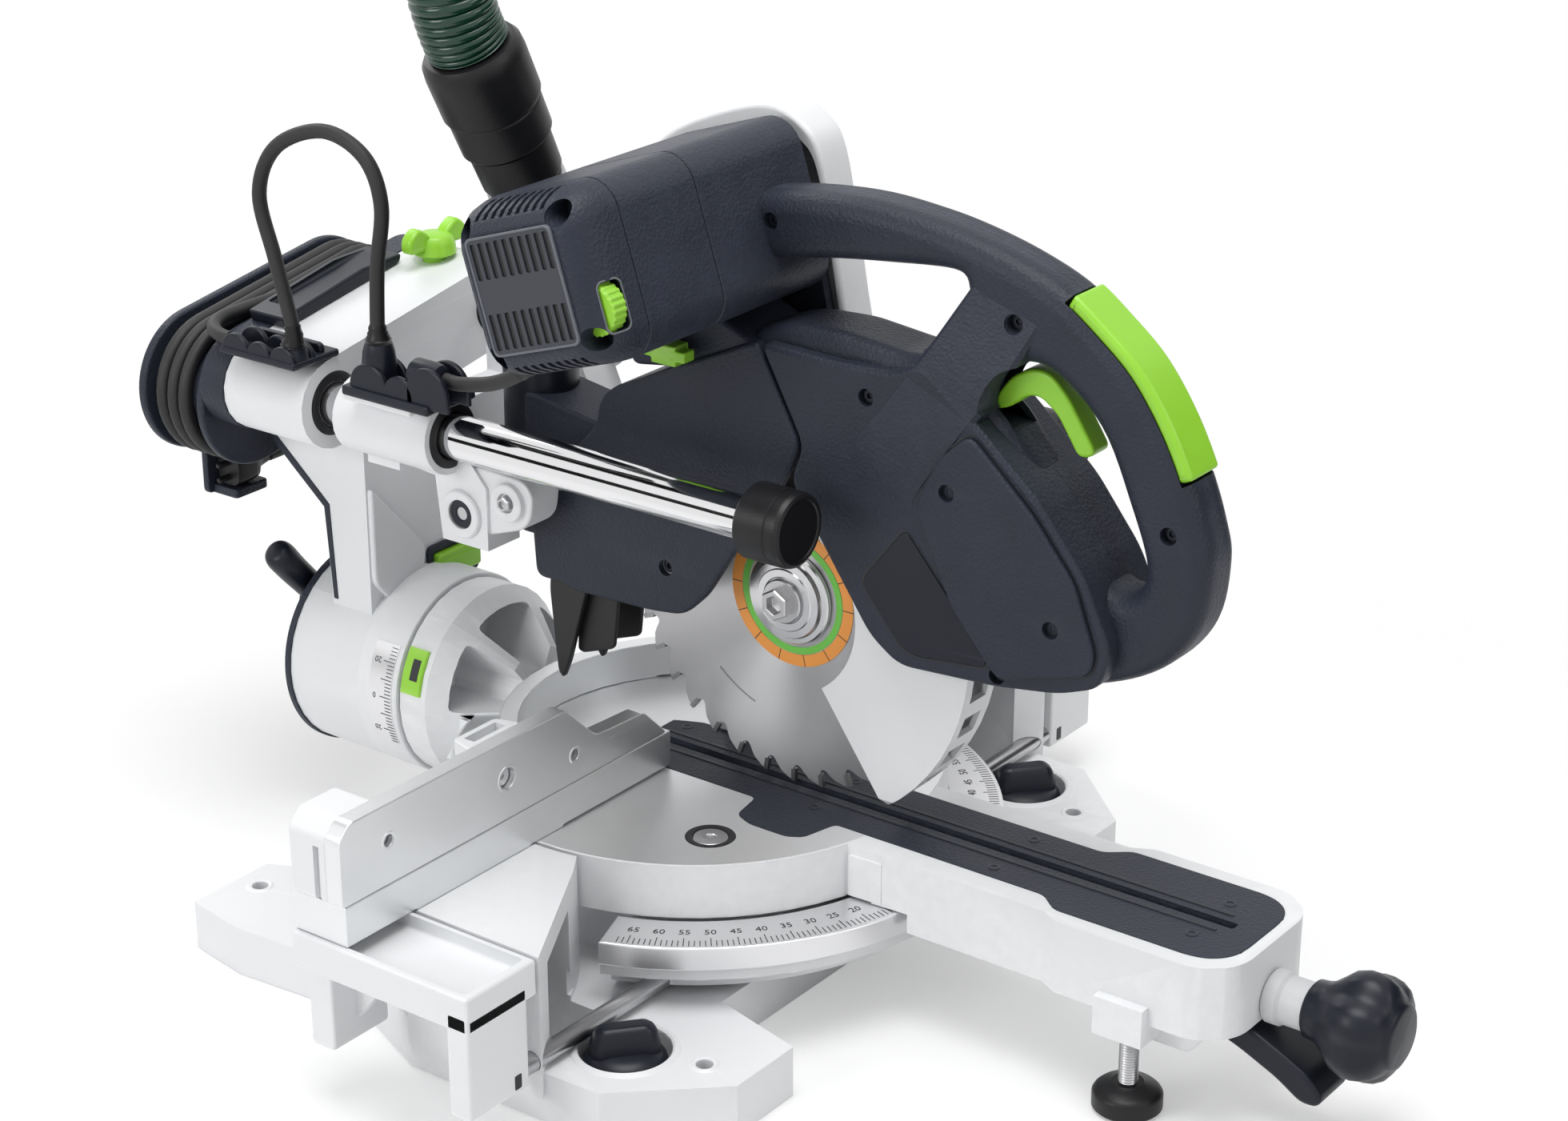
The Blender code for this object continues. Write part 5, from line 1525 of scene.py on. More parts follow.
    def winder(self) -> None:
        """The dark rear cover: core, two flanges, a back panel and the plug's holder."""
        f0, f1, f2, f3 = self.spool_y
        core_r, flange_r = self.spool_radii
        core = plate(Axis.Y, (f1 - 1, f2 + 1),
                     belt(self.spool_left, core_r, self.spool_right, core_r - 0.1))
        self.shop.piece("rear_cover_core", core, DARK, "tilt_arm", ("rear_cover",))
        outline = belt(self.spool_left, flange_r, self.spool_right, flange_r - 0.1, 40)
        inner = belt(self.spool_left, flange_r - 6, self.spool_right, flange_r - 6.1, 40)
        for i, (a, b) in enumerate(((f0, f1), (f2, f3))):
            self.shop.piece(f"rear_cover_flange_{i}", plate(Axis.Y, (a, b), outline, (), 1.8, 3), DARK,
                            "tilt_arm")
        self.shop.piece("rear_cover_panel", plate(Axis.Y, (f3 - 0.6, f3 + 0.9), inner, (), 0.6, 2),
                        DARK_SMOOTH, "tilt_arm")
        back = plate(Axis.Y, (f3 - 5, f3 - 0.2),
                     soft_corners([(-44, 88), (-10, 88), (-10, 150), (-44, 150)], 4), (), 1.2, 2)
        shelf = plate(Axis.Z, (88, 93.6), soft_corners([(-40, 312), (-14, 312), (-14, f3 - 2),
                                                        (-40, f3 - 2)], 3), (), 1.0, 2)
        self.shop.piece("plug_holder", merged(back, shelf), DARK, "tilt_arm")

    def clip(self) -> None:
        """The rear cable clip: a strip with rounded saddles that hold the lead."""
        x0, x1 = self.clip_x
        strip = box((x0, x1), (203, 260), (203.8, 208.0), 1.4, 3)
        walls = []
        for y, r in ((213, 9.6), (231, 9.0), (249, 10.6)):
            lobe = [(y - r, 205), *arc((y, 206), r, 180, 0, 16), (y + r, 205)]
            for x in (-93, -78.5):
                walls.append(plate(Axis.X, (x, x + 3.4), lobe, (), 1.0, 3))
        seat = lathe((-84, 212, 206), (0, 0, 1), [(0, 0), (8.6, 0), (8.2, 5), (7.2, 8), (0, 8)], 32)
        rib = plate(Axis.X, (-70, -66), soft_corners([(206, 205), (206, 213), (257, 213), (257, 205)], 4),
                    (), 1, 2)
        self.shop.piece("rear_cable_clip_moulded", merged(strip, *walls, seat, rib), DARK_SMOOTH,
                        "tilt_arm", ("rear_cable_clip",), sharp=40)

    def tray(self) -> None:
        """The dished strip along the housing's top."""
        outline = [(-48, 206), (46, 222), (47.6, 227.2), (16, 226), (-50, 213)]
        strip = plate(Axis.Y, (254, 282), soft_corners(outline, 2), (), 1.6, 3)
        dish = box((-40, 40), (-10.5, 10.5), (-1.6, 8), 2.0, 3)
        dish = moved(dish,
                     Matrix.Translation((2, 268, 221.4)) @ Matrix.Rotation(math.radians(-10), 4, "Y"))
        self.shop.piece("top_tray_dished", carved(strip, dish), DARK_SMOOTH, "tilt_arm", ("top_tray",))

    def controls(self) -> None:
        """Bevel lever, bevel button and the slide's lock knob."""
        path = spline([(-16, 271, 28), (-26, 271, 40), (-38, 272, 54), (-47, 273, 65.5),
                       (-50, 273.3, 69)], 6)
        radii = []
        for i in range(len(path)):
            left = (len(path) - 1 - i) * 1.0
            radii.append(min(9.4, 8.0 + 0.08 * i,
                             math.sqrt(max(0.3, 18.8 * left - left * left)) if left < 9 else 9.4))
        lever = sweep(path, radii, 28)
        hub = lathe((-16, 260.4, 28), (0, 1, 0),
                    [(0, 0), (12, 0), (13, 1), (13, 16), (12, 17.5), (6, 18), (5.6, 16.8), (0, 16.6)], 48)
        self.shop.piece("bevel_lever_moulded", merged(lever, hub), DARK_SMOOTH, "bevel_lever",
                        ("bevel_lever",), sharp=50)
        button = box((9, 45), (198, 214), (48, 64), 2.0, 4)
        self.shop.piece("bevel_button_moulded", button, LIME, "bevel_button", ("bevel_button",), sharp=50)
        grip = plate(Axis.Y, (197.3, 199), soft_corners([(13, 52), (41, 52), (41, 60), (13, 60)], 3), (),
                     0.6, 2)
        self.shop.piece("bevel_button_grip", grip, LIME, "bevel_button")
        stem = lathe((60, 240, 213.5), (0, 0, 1),
                     [(0, 0), (6.6, 0), (6.6, 13.2), (12, 13.6), (13, 14.6), (12.4, 20), (11, 24),
                      (8, 25.6), (0, 26)], 48)
        wing = soft_corners([(36, 231), (36, 240), (44, 246), (52, 241), (56, 236), (64, 236), (68, 241),
                             (76, 246), (84, 240), (84, 231)], 4)
        knob = merged(stem, plate(Axis.Y, (235.6, 244.4), wing, (), 2.4, 4))
        self.shop.piece("slide_lock_knob_winged", knob, LIME, "slide_lock", ("slide_lock_knob",),
                        sharp=50)


@dataclass
class Carriage:
    """Sliding casting with sleeves, bushes, pivot bracket and cable clip."""

    shop: Workshop
    sleeve: Pair = (118.0, 186.0)
    rail_left: Pair = (-62.0, 177.0)
    rail_right: Pair = (74.0, 200.0)
    pivot: Pair = (115.0, 132.0)

    def build(self) -> None:
        """Build every piece of the carriage."""
        self.shop.refined("carriage", WHITE, 2.5, 3)
        self.shop.dress(BRONZE, "slide_bush_left", "slide_bush_right")
        self.shop.dress(STEEL, "pivot_shaft")
        for i, (x, z) in enumerate((self.rail_left, self.rail_right)):
            wiper = lathe((x, self.sleeve[0] + 2.2, z), (0, -1, 0),
                          [(13.0, 0), (13.0, 2.6), (13.8, 3.4), (16.6, 3.4), (18.2, 2.4), (18.4, 1.4),
                           (18.4, 0), (13.0, 0)], 64)
            self.shop.piece(f"sleeve_wiper_{i}", wiper, BLACK, "carriage")
        ledge = box((-92, -58), (120, 170), (195, 201), 1.6, 3)
        self.shop.piece("sleeve_ledge", ledge, WHITE, "carriage")
        self.bracket()
        self.clip()

    def bracket(self) -> None:
        """The pivot's cheek under the left rail, with its bosses, pin head and stop screw."""
        y, z = self.pivot
        cheek = [(131, 158), (98, 161), (72, 159), (66, 152), (68, 138), (74, 131), (100, 122),
                 (116, 115), (131, 117)]
        self.shop.piece("pivot_cheek", plate(Axis.X, (-58, -35), soft_corners(cheek, 5),
                                             [arc(self.pivot, 8.4, 0, 350, 35)], 1.6, 3), WHITE,
                        "carriage")
        boss = lathe((-57.5, y, z), (-1, 0, 0),
                     [(8.3, -2), (8.3, 4.4), (9.2, 5), (12.8, 5), (13.6, 4.2), (14.2, -2), (8.3, -2)], 56)
        self.shop.piece("pivot_boss", boss, WHITE, "carriage")
        pin = lathe((-57.5, y, z), (-1, 0, 0),
                    [(0, -1), (0, 2.2), (3.4, 2.2), (4.0, 3.2), (7.6, 3.4), (8.0, 2.6), (8.0, -1),
                     (0, -1)], 48)
        self.shop.piece("pivot_pin_head", pin, DARK_SMOOTH, "carriage")
        stop = lathe((-57.5, 82, 146), (-1, 0, 0),
                     [(0, -2), (11, -2), (10.6, 3.6), (9.8, 4.2), (5.6, 4.2), (5.2, 2.4), (0, 2.2)], 48)
        self.shop.piece("chop_stop_boss", stop, WHITE, "carriage")
        nut = lathe((-57.5, 82, 146), (-1, 0, 0),
                    [(0, 2), (4.6, 2), (4.6, 6.4), (3.8, 7.2), (2.4, 7.2), (2.2, 5.4), (0, 5.3)], 6)
        self.shop.piece("chop_stop_screw", nut, STEEL, "carriage")

    def clip(self) -> None:
        """The carriage's cable clip: a strip with saddles, a post and a round guide."""
        strip = box((-96, -57), (104, 166), (199.6, 205.2), 1.6, 3)
        walls = []
        for y, z, r in ((148, 206, 13.5), (126, 206, 11.0), (106, 211, 14.5)):
            lobe = [(y - r, 203), *arc((y, z), r, 180, 0, 18), (y + r, 203)]
            for x in (-94, -77.4):
                walls.append(plate(Axis.X, (x, x + 3.4), lobe, (), 1.2, 3))
        post = lathe((-84, 148, 203), (0, 0, 1),
                     [(0, 0), (10, 0), (9.6, 14), (8.6, 22), (7.4, 26.4), (0, 26.4)], 36)
        nose = lathe((-84, 122, 218), (0, -1, 0),
                     [(0, 0), (7.4, 0), (8.2, 1), (8.2, 12), (7.4, 18.5), (5.2, 20.2), (0, 20.2)], 36)
        rest = box((-90, -78), (108, 122), (203, 218), 2.0, 3)
        self.shop.piece("carriage_clip_moulded", merged(strip, *walls, post, nose, rest), DARK_SMOOTH,
                        "carriage", ("carriage_clip",), sharp=40)


@dataclass
class Casing:
    """Guard casing, handle shells, front cover, grip pad and trigger."""

    shop: Workshop
    arbor: Pair = (-64.0, 109.0)
    half: float = 28.0
    grip_half: float = 17.5
    grip_rounding: float = 11.0
    pocket_r: float = 124.0
    pocket_half: float = 24.0
    arch_r: float = 58.0
    seam: float = 0.5
    well_r: float = 4.6

    rear = [(94, 121), (92, 90), (74, 91), (63, 88), (11, 90), (-11, 93), (-27, 108), (-46, 138),
            (-62, 160), (-80, 187), (-88.2, 206), (-60.4, 256.5), (-53, 253.5), (-17, 237), (35, 212),
            (44, 203), (47, 188), (62, 172), (88, 152)]
    front = [(-62, 257), (-108, 255.5), (-146, 257.5), (-160, 266), (-192, 242), (-231, 209),
             (-258, 175), (-274, 140), (-268, 120), (-245, 111), (-208, 105), (-150, 101), (-132, 113),
             (-104, 153), (-81.2, 187), (-89.6, 206)]
    loop = [(-22, 320), (-60, 331), (-110, 336), (-150, 333.5), (-180, 328.5), (-208, 321), (-233, 311),
            (-254, 296.5), (-274, 279.5), (-291, 256.5), (-304, 231.5), (-313, 208), (-317, 188),
            (-312, 156), (-292, 131), (-258, 114), (-215, 105), (-150, 105), (-126, 112), (-84, 190),
            (-90, 206), (-74, 244), (-100, 255), (-140, 260), (-158, 273), (-174, 294), (-177, 303),
            (-169, 309.5), (-129, 306), (-90, 301), (-60, 295), (-40, 288), (-22, 280)]
    crest = [(-44, 236), (-48, 256), (-60, 262), (-76, 266.5), (-105, 268), (-144, 264), (-160, 266),
             (-160, 240)]
    hand_hole = [(-194, 249), (-204, 268), (-226, 270), (-254, 248), (-272, 212), (-282, 184),
                 (-278, 169), (-265, 166), (-252, 178), (-228, 209), (-203, 238)]
    web_left = [(-116, 200), (-124, 222), (-138, 240), (-150, 256), (-162, 272), (-174, 292), (-186, 312)]
    web_right = [(-158, 176), (-160, 192), (-174, 214), (-190, 237), (-204, 258), (-216, 280),
                 (-226, 300)]
    web_face: tuple[float, ...] = (27.0, 28.3, 28.6, 28.2, 25.4, 20.4, 16.0)
    trigger_space = [(-186, 236), (-187, 254), (-203, 284), (-236, 284), (-266, 250), (-254, 224),
                     (-222, 240), (-204, 234)]
    panel = [(-161, 192), (-174, 219), (-192, 236), (-229, 203), (-254, 173), (-267, 138), (-264, 127),
             (-212, 111), (-184, 143)]
    badge = [(-154, 177), (-204, 121), (-203, 115), (-162, 110), (-152, 113), (-129, 140), (-130, 146)]
    lever = [(-191, 242), (-192, 250), (-200, 261), (-212, 268), (-223, 266.5), (-233, 257), (-250, 231),
             (-240, 227), (-227, 247), (-217, 254), (-209, 253), (-200, 245)]

    def build(self) -> None:
        """Build the casing, the handle and what a hand holds."""
        self.rear_casing()
        self.front_casing()
        self.cover()
        self.controls()
        self.screws()

    def pocket(self) -> bmesh.types.BMesh:
        """The blade's room inside the casing."""
        reach = self.pocket_half
        return lathe((-reach, *self.arbor), (1, 0, 0),
                     [(0, 0), (self.pocket_r, 0), (self.pocket_r, 2 * reach), (0, 2 * reach)], 72)

    def trigger_room(self) -> bmesh.types.BMesh:
        """The room that the trigger moves in."""
        return plate(Axis.X, (-9.9, 9.9), self.trigger_space)

    def well(self, y: float, z: float, face: float) -> bmesh.types.BMesh:
        """The room of a sunk screw in a face on the left."""
        return lathe((face - 1, y, z), (1, 0, 0), [(0, 0), (self.well_r, 0), (self.well_r, 6), (0, 6)],
                     24)

    def rear_casing(self) -> None:
        """The casing over the rear of the blade, with its boss for the swing pivot."""
        side = plate(Axis.X, (-self.half, self.half), soft_corners(self.rear, 7), (), 2.6, 3)
        side = carved(side, self.pocket(), self.well(0, 118, -self.half))
        self.shop.piece("guard_casing_rear", side, DARK, "head", ("guard_casing",))
        boss = lathe((-27.5, 115, 132), (1, 0, 0),
                     [(8.3, 0), (17, 0), (18, 1), (18, 62.5), (17, 63.5), (8.3, 63.5)], 64)
        self.shop.piece("swing_boss", boss, DARK, "head")
        neck = plate(Axis.X, (-26, 36), soft_corners([(70, 114), (70, 150), (104, 150), (113, 142),
                                                      (113, 122), (104, 114)], 4), (), 2.0, 3)
        neck = carved(neck, lathe((-40, 115, 132), (1, 0, 0), [(0, 0), (17.6, 0), (17.6, 90), (0, 90)],
                                  48))
        self.shop.piece("swing_neck", neck, DARK, "head")
        top = plate(Axis.X, (-25, 25), soft_corners([(24, 226), (24, 262), (-34, 264), (-62, 252),
                                                     (-40, 236)], 6), (), 3, 3)
        self.shop.piece("motor_saddle", top, DARK, "head")
        cheek = plate(Axis.X, (23.5, 27.6),
                      soft_corners([(-104, 90), (-104, 206), (-40, 206), (-20, 150), (-24, 90)], 10),
                      [arc(self.arbor, 24.4, 0, 350, 35)], 0.8, 2)
        self.shop.piece("bearing_cheek", cheek, DARK, "head")

    def grip_outline(self) -> list[Pair]:
        """The handle's smooth outline."""
        return [tuple(p) for p in spline(self.loop, 6, closed=True)]

    def pad_outline(self, out: float, depth: float, spare: float) -> list[Pair]:
        """A band along the handle's outer edge, where the safety pad sits.

        Args:
            out: How far it stands out of the handle.
            depth: How deep it reaches into the handle.
            spare: How much longer it is at each end.

        Returns:
            The band's outline.
        """
        ring = [Vector(p) for p in self.grip_outline()]
        picks = []
        for i, p in enumerate(ring):
            if -310 < p.x < -235.5 and p.y > 231:
                picks.append(i)
        picks = [i for i in picks if i < len(ring) // 2]
        outer, inner = [], []
        for i in picks:
            along = (ring[i + 1] - ring[i - 1]).normalized()
            normal = Vector((along.y, -along.x))
            if normal.dot(ring[i] - Vector((-240, 230))) < 0:
                normal = -normal
            end = (i == picks[-1]) - (i == picks[0])
            place = ring[i] + along * (spare * end)
            outer.append(tuple(place + normal * out))
            inner.append(tuple(place - normal * depth))
        return outer + inner[::-1]

    def front_casing(self) -> None:
        """Handle shells: the hollow front casing, and the round-edged grip that loops up to the motor."""
        lower = [tuple(p) for p in spline(self.hand_hole, 6, closed=True)]
        grip = plate(Axis.X, (-self.grip_half, self.grip_half), self.grip_outline(), [lower],
                     self.grip_rounding, 6)
        wells = [self.well(y, z, -self.grip_half) for y, z in ((-62, 317), (-297, 204), (-208, 292))]
        pad_room = plate(Axis.X, (-14.6, 14.6), self.pad_outline(12, 8.2, 1.6))
        grip = carved(grip, self.pocket(), self.trigger_room(), pad_room, *wells)
        body = plate(Axis.X, (-self.half, self.half), soft_corners(self.front, 8), (), 3.2, 3)
        arch = lathe((-40, *self.arbor), (1, 0, 0),
                     [(0, 0), (self.arch_r, 0), (self.arch_r, 30), (0, 30)], 72)
        bearing_room = box((10, 40), (-104.4, 0), (80, 206.4))
        wells = [self.well(y, z, -self.half) for y, z in ((-129, 241), (-210, 112))]
        body = carved(body, self.pocket(), arch, bearing_room, self.trigger_room(), *wells)
        shells = halves(grip, 0.12)
        bodies = halves(body, 0.12)
        for side in Side:
            name = "handle_shell_" + side.word
            self.shop.piece(name + "_grip", shells[side], DARK, "head", (name,), sharp=40)
            self.shop.piece(name + "_casing", bodies[side], DARK, "head", (name,))
        crest = plate(Axis.X, (-21, 21), soft_corners(self.crest, 6), (), 9.0, 6)
        self.shop.piece("guard_crest", carved(crest, self.pocket()), DARK, "head", sharp=45)
        hole = [tuple(p) for p in spline(self.hand_hole, 6, closed=True)]
        rows = [(face, *left, *right) for face, left,
                right in zip(self.web_face, self.web_left, self.web_right)]
        rings = []
        for face, ly, lz, ry, rz in spline(rows, 4):
            across = Vector((ry - ly, rz - lz)) * 0.05
            rings.append([(-9, ly, lz), (-face + 2.2, ly, lz), (-face, ly + across.x, lz + across.y),
                          (-face, ry - across.x, rz - across.y), (-face + 2.2, ry, rz), (-9, ry, rz)])
        web = loft(rings)
        opening = plate(Axis.X, (-60, 0), hole)
        room = lathe((-60, -208, 292), (1, 0, 0), [(0, 0), (5.2, 0), (5.2, 60), (0, 60)], 28)
        well = lathe((-60, -129, 241), (1, 0, 0), [(0, 0), (6.5, 0), (6.5, 60), (0, 60)], 28)
        self.shop.piece("handle_web", carved(web, opening, room, well), DARK, "head")

    def cover(self) -> None:
        """The screwed front cover in its groove, and the bare badge plate."""
        panel = plate(Axis.X, (-31.4, -27.6), soft_corners(self.panel, 7), (), 1.5, 3)
        wells = [self.well(y, z, -31.4) for y, z in ((-180, 203), (-242, 146))]
        self.shop.piece("front_cover_panel", carved(panel, *wells), DARK, "head", ("front_cover",))
        lip = soft_corners(self.panel, 7)
        middle = Vector((sum(p[0] for p in lip) / len(lip), sum(p[1] for p in lip) / len(lip)))
        outer = [tuple(middle + (Vector(p) - middle) * 1.022) for p in lip]
        inner = [tuple(middle + (Vector(p) - middle) * 1.008) for p in lip]
        groove = plate(Axis.X, (-28.25, -27.5), outer, [inner])
        self.shop.piece("front_cover_groove", groove, INK, "head")
        plain = plate(Axis.X, (-28.9, -27.4), soft_corners(self.badge, 5), (), 0.5, 2)
        self.shop.piece("badge_plate", plain, DARK_SMOOTH, "head")
        middle = Vector((-168, 138))
        outer = [tuple(middle + (Vector(p) - middle) * 1.045) for p in soft_corners(self.badge, 5)]
        inner = [tuple(middle + (Vector(p) - middle) * 1.012) for p in soft_corners(self.badge, 5)]
        self.shop.piece("badge_groove", plate(Axis.X, (-28.2, -27.5), outer, [inner]), INK, "head")

    def controls(self) -> None:
        """The grip's safety pad and the trigger."""
        pad = plate(Axis.X, (-14, 14), soft_corners(self.pad_outline(2.4, 5.6, 0.0), 4), (), 3.4, 6)
        self.shop.piece("safety_pad_moulded", pad, LIME, "safety_pad", ("safety_pad",), sharp=50)
        lever = plate(Axis.X, (-7.5, 7.5), soft_corners(self.lever, 5), (), 2.0, 4)
        self.shop.piece("trigger_lever", lever, LIME, "trigger", ("trigger",), sharp=50)

    def screws(self) -> None:
        """Screw heads sunk in the shells and the cover."""
        places = ((-62, 317, 13.6), (-297, 204, 13.6), (-129, 241, 24.6), (-210, 112, 24.6),
                  (-180, 203, 28.2), (-242, 146, 28.2), (0, 118, 24.6), (-208, 292, 13.6))
        for i, (y, z, depth) in enumerate(places):
            self.shop.screw(f"casing_screw_{i}", (-depth, y, z), (-1, 0, 0), "head", 3.6, DARK_SMOOTH)


@dataclass
class Motor:
    """Motor housing, end cap with grilles, speed dial and belt drive."""

    shop: Workshop
    axis: Pair = (-14.0, 305.0)
    roll: float = -18.0
    half: float = 45.0
    corner: float = 18.0
    end: float = -150.0
    crease: float = -118.0
    seam: float = -60.0
    right: float = 28.0

    def build(self) -> None:
        """Build the motor and its drive."""
        self.housing()
        self.end_cap()
        self.grille()
        self.dial()
        self.belt_case()
        self.shop.dress(STEEL, "motor_rotor", "spindle_bearing", "spindle")
        self.shop.dress(RUBBER, "drive_belt")
        self.shop.dress(SCALE, "driven_pulley")

    def ring(self, x: float, half: float, corner: float) -> list[Triple]:
        """One cross section of the motor."""
        outline = round_box_outline(self.axis, (half, half), corner, self.roll, 8)
        return [(x, y, z) for y, z in outline]

    def housing(self) -> None:
        """The housing's two lengths, with a fine seam between them."""
        spans = (("motor_housing_left", self.crease + 0.25, self.seam - 0.3),
                 ("motor_housing_right", self.seam + 0.3, self.right))
        for name, a, b in spans:
            rings = [self.ring(x, self.half - dip, self.corner - dip)
                     for x, dip in ((a, 0.7), (a + 0.7, 0), (b - 0.7, 0), (b, 0.7))]
            self.shop.piece(name, loft(rings), DARK, "head", ("motor_housing",))
        band = loft([self.ring(x, self.half - 1.6,
                               self.corner - 1) for x in (self.crease - 2, self.right - 1)])
        self.shop.piece("motor_inner_liner", band, BLACK, "head")

    def end_cap(self) -> None:
        """The end cap with its big rounding, dial window, screw pockets and side slots."""
        steps = ((self.crease - 0.25, 44.3, 17.6), (self.crease - 1, 45, 18), (-127, 44.4, 17.6),
                 (-136, 42.4, 16.5), (-143, 39.2, 15), (-147.5, 35.4, 13), (-149.6, 32, 11),
                 (self.end, 30.5, 10))
        cap = loft([self.ring(x, half, corner) for x, half, corner in steps])
        cutters = [moved(box((-6.4, 6.4), (-12.2, 12.2), (-24, 12), 2.0, 2), self.window_place())]
        for u, v in ((-31, 33), (-34, -29), (31, 33), (31, -31)):
            y, z = self.spot(u, v)
            cutters.append(lathe((-156, y, z), (1, 0, 0), [(0, 0), (6.4, 0), (5.6, 24), (0, 24)], 28))
        for k in range(9):
            for v in (41.5, -41.5):
                slot = box((-147, -129), (-1.4, 1.4), (-5, 5))
                turn = Matrix.Rotation(math.radians(self.roll), 4, "X")
                y, z = self.spot(-22 + 5.5 * k, v)
                cutters.append(moved(slot, Matrix.Translation((0, y, z)) @ turn))
        self.shop.piece("motor_end_cap_moulded", carved(cap, *cutters), DARK, "head", ("motor_end_cap",))
        for i, (u, v) in enumerate(((-31, 33), (-34, -29), (31, 33), (31, -31))):
            y, z = self.spot(u, v)
            self.shop.screw(f"end_cap_screw_{i}", (-133.5, y, z), (-1, 0, 0), "head", 4.2, DARK_SMOOTH)

    def spot(self, u: float, v: float) -> Pair:
        """A point of the rolled motor section, u to the rear and v up along its sides."""
        turn = Matrix.Rotation(math.radians(self.roll), 2)
        y, z = turn @ Vector((u, v)) + Vector(self.axis)
        return y, z

    def grille(self) -> None:
        """The end's raised grille with two rows of slots and a bare band between them, a painted-shade
        plate behind the slots and a frame with a painted edge highlight.
        """
        turn = Matrix.Rotation(math.radians(self.roll), 2)

        def rolled(points: Iterable[Pair]) -> list[Pair]:
            return [tuple(turn @ Vector(p) + Vector(self.axis)) for p in points]

        rim = rolled(soft_corners([(-28, 29), (28, 29), (28, -29), (-28, -29)], 4))
        slots = []
        for k in range(10):
            u = -24.3 + 5.4 * k
            for low, high in ((8.5, 26.5), (-26.5, -8.5)):
                slots.append(rolled(soft_corners([(u - 1.5, low), (u + 1.5, low), (u + 1.5, high),
                                                  (u - 1.5, high)], 0.8, 2)))
        board = plate(Axis.X, (self.end - 1.2, self.end + 0.4), rim, slots, 0.35, 2)
        self.shop.piece("motor_grille", board, BARS, "head")
        # A dark plate just behind the slots paints the shade inside the grille.
        dark = rolled(soft_corners([(-27, 28), (27, 28), (27, -28), (-27, -28)], 3))
        self.shop.piece("motor_grille_shade", plate(Axis.X, (self.end - 0.15, self.end + 0.3), dark), INK,
                        "head")
        # The frame's lighter finish paints the highlight on the grille's edge.
        frame = rolled(soft_corners([(-28.6, 29.6), (28.6, 29.6), (28.6, -29.6), (-28.6, -29.6)], 4))
        inner = rolled(soft_corners([(-27.4, 28.4), (27.4, 28.4), (27.4, -28.4), (-27.4, -28.4)], 3.5))
        edge = plate(Axis.X, (self.end - 1.6, self.end + 0.2), frame, [inner], 0.4, 2)
        self.shop.piece("motor_grille_frame", edge, EDGE_HIGHLIGHT, "head")

    def window_place(self) -> Matrix:
        """Where the dial's window lies on the cap's sloping side."""
        roll = math.radians(self.roll)
        y, z = self.spot(-41.9, -15.9)
        basis = Matrix(((1, 0, 0, 0), (0, -math.sin(roll), -math.cos(roll), 0),
                        (0, math.cos(roll), -math.sin(roll), 0), (0, 0, 0, 1)))
        return Matrix.Translation((-136, y, z)) @ basis @ Matrix.Rotation(math.radians(-19), 4, "Y")

    def dial(self) -> None:
        """The knurled speed dial in its window frame, whose lighter finish paints an edge highlight."""
        rings = []
        for x, r in ((-141, 11.6), (-140.2, 13.2), (-131.8, 13.2), (-131, 11.6)):
            ring = []
            for k in range(96):
                a = 2 * math.pi * k / 96
                knurl = r - (0.5 if k % 4 < 2 else 0.0)
                ring.append((x, -50 + knurl * math.cos(a), 300 + knurl * math.sin(a)))
            rings.append(ring)
        self.shop.piece("speed_dial_wheel", loft(rings), LIME, "speed_dial", ("speed_dial",), sharp=25)
        outer = round_box_outline((0, 0), (7.2, 13.2), 4.0, 0, 6)
        inner = round_box_outline((0, 0), (6.3, 12.2), 3.2, 0, 6)
        frame = plate(Axis.Z, (-0.9, 0.35), outer, [inner], 0.3, 2)
        self.shop.piece("dial_window_frame", moved(frame, self.window_place()), EDGE_HIGHLIGHT, "head")

    def belt_case(self) -> None:
        """The white belt case on the right, with its hoop round the motor's end."""
        case = [(58, 316), (44, 335), (13, 351), (-22, 361), (-44, 354), (-56, 338), (-66, 290),
                (-76, 240), (-100, 150), (-100, 100), (-84, 78), (-56, 73), (-32, 88), (-24, 130),
                (4, 190), (34, 245), (56, 285)]
        outline = [tuple(p) for p in spline(case, 5, closed=True)]
        middle = Vector((-30, 220))
        inner = [tuple(middle + (Vector(p) - middle) * 0.935) for p in outline]
        shell = plate(Axis.X, (33.0, 58.0), outline, (), 3.0, 4)
        room = plate(Axis.X, (20.0, 52.0), inner)
        self.shop.piece("belt_case", carved(shell, room), WHITE, "head", ("belt_housing",))
        core = plate(Axis.X, (27.8, 34.0), belt(self.arbor(), 33, self.axis, 40),
                     [arc(self.arbor(), 30, 0, 350, 35)])
        self.shop.piece("belt_case_backplate", core, DARK_SMOOTH, "head")

    @staticmethod
    def arbor() -> Pair:
        """The blade's axis."""
        return (-64.0, 109.0)


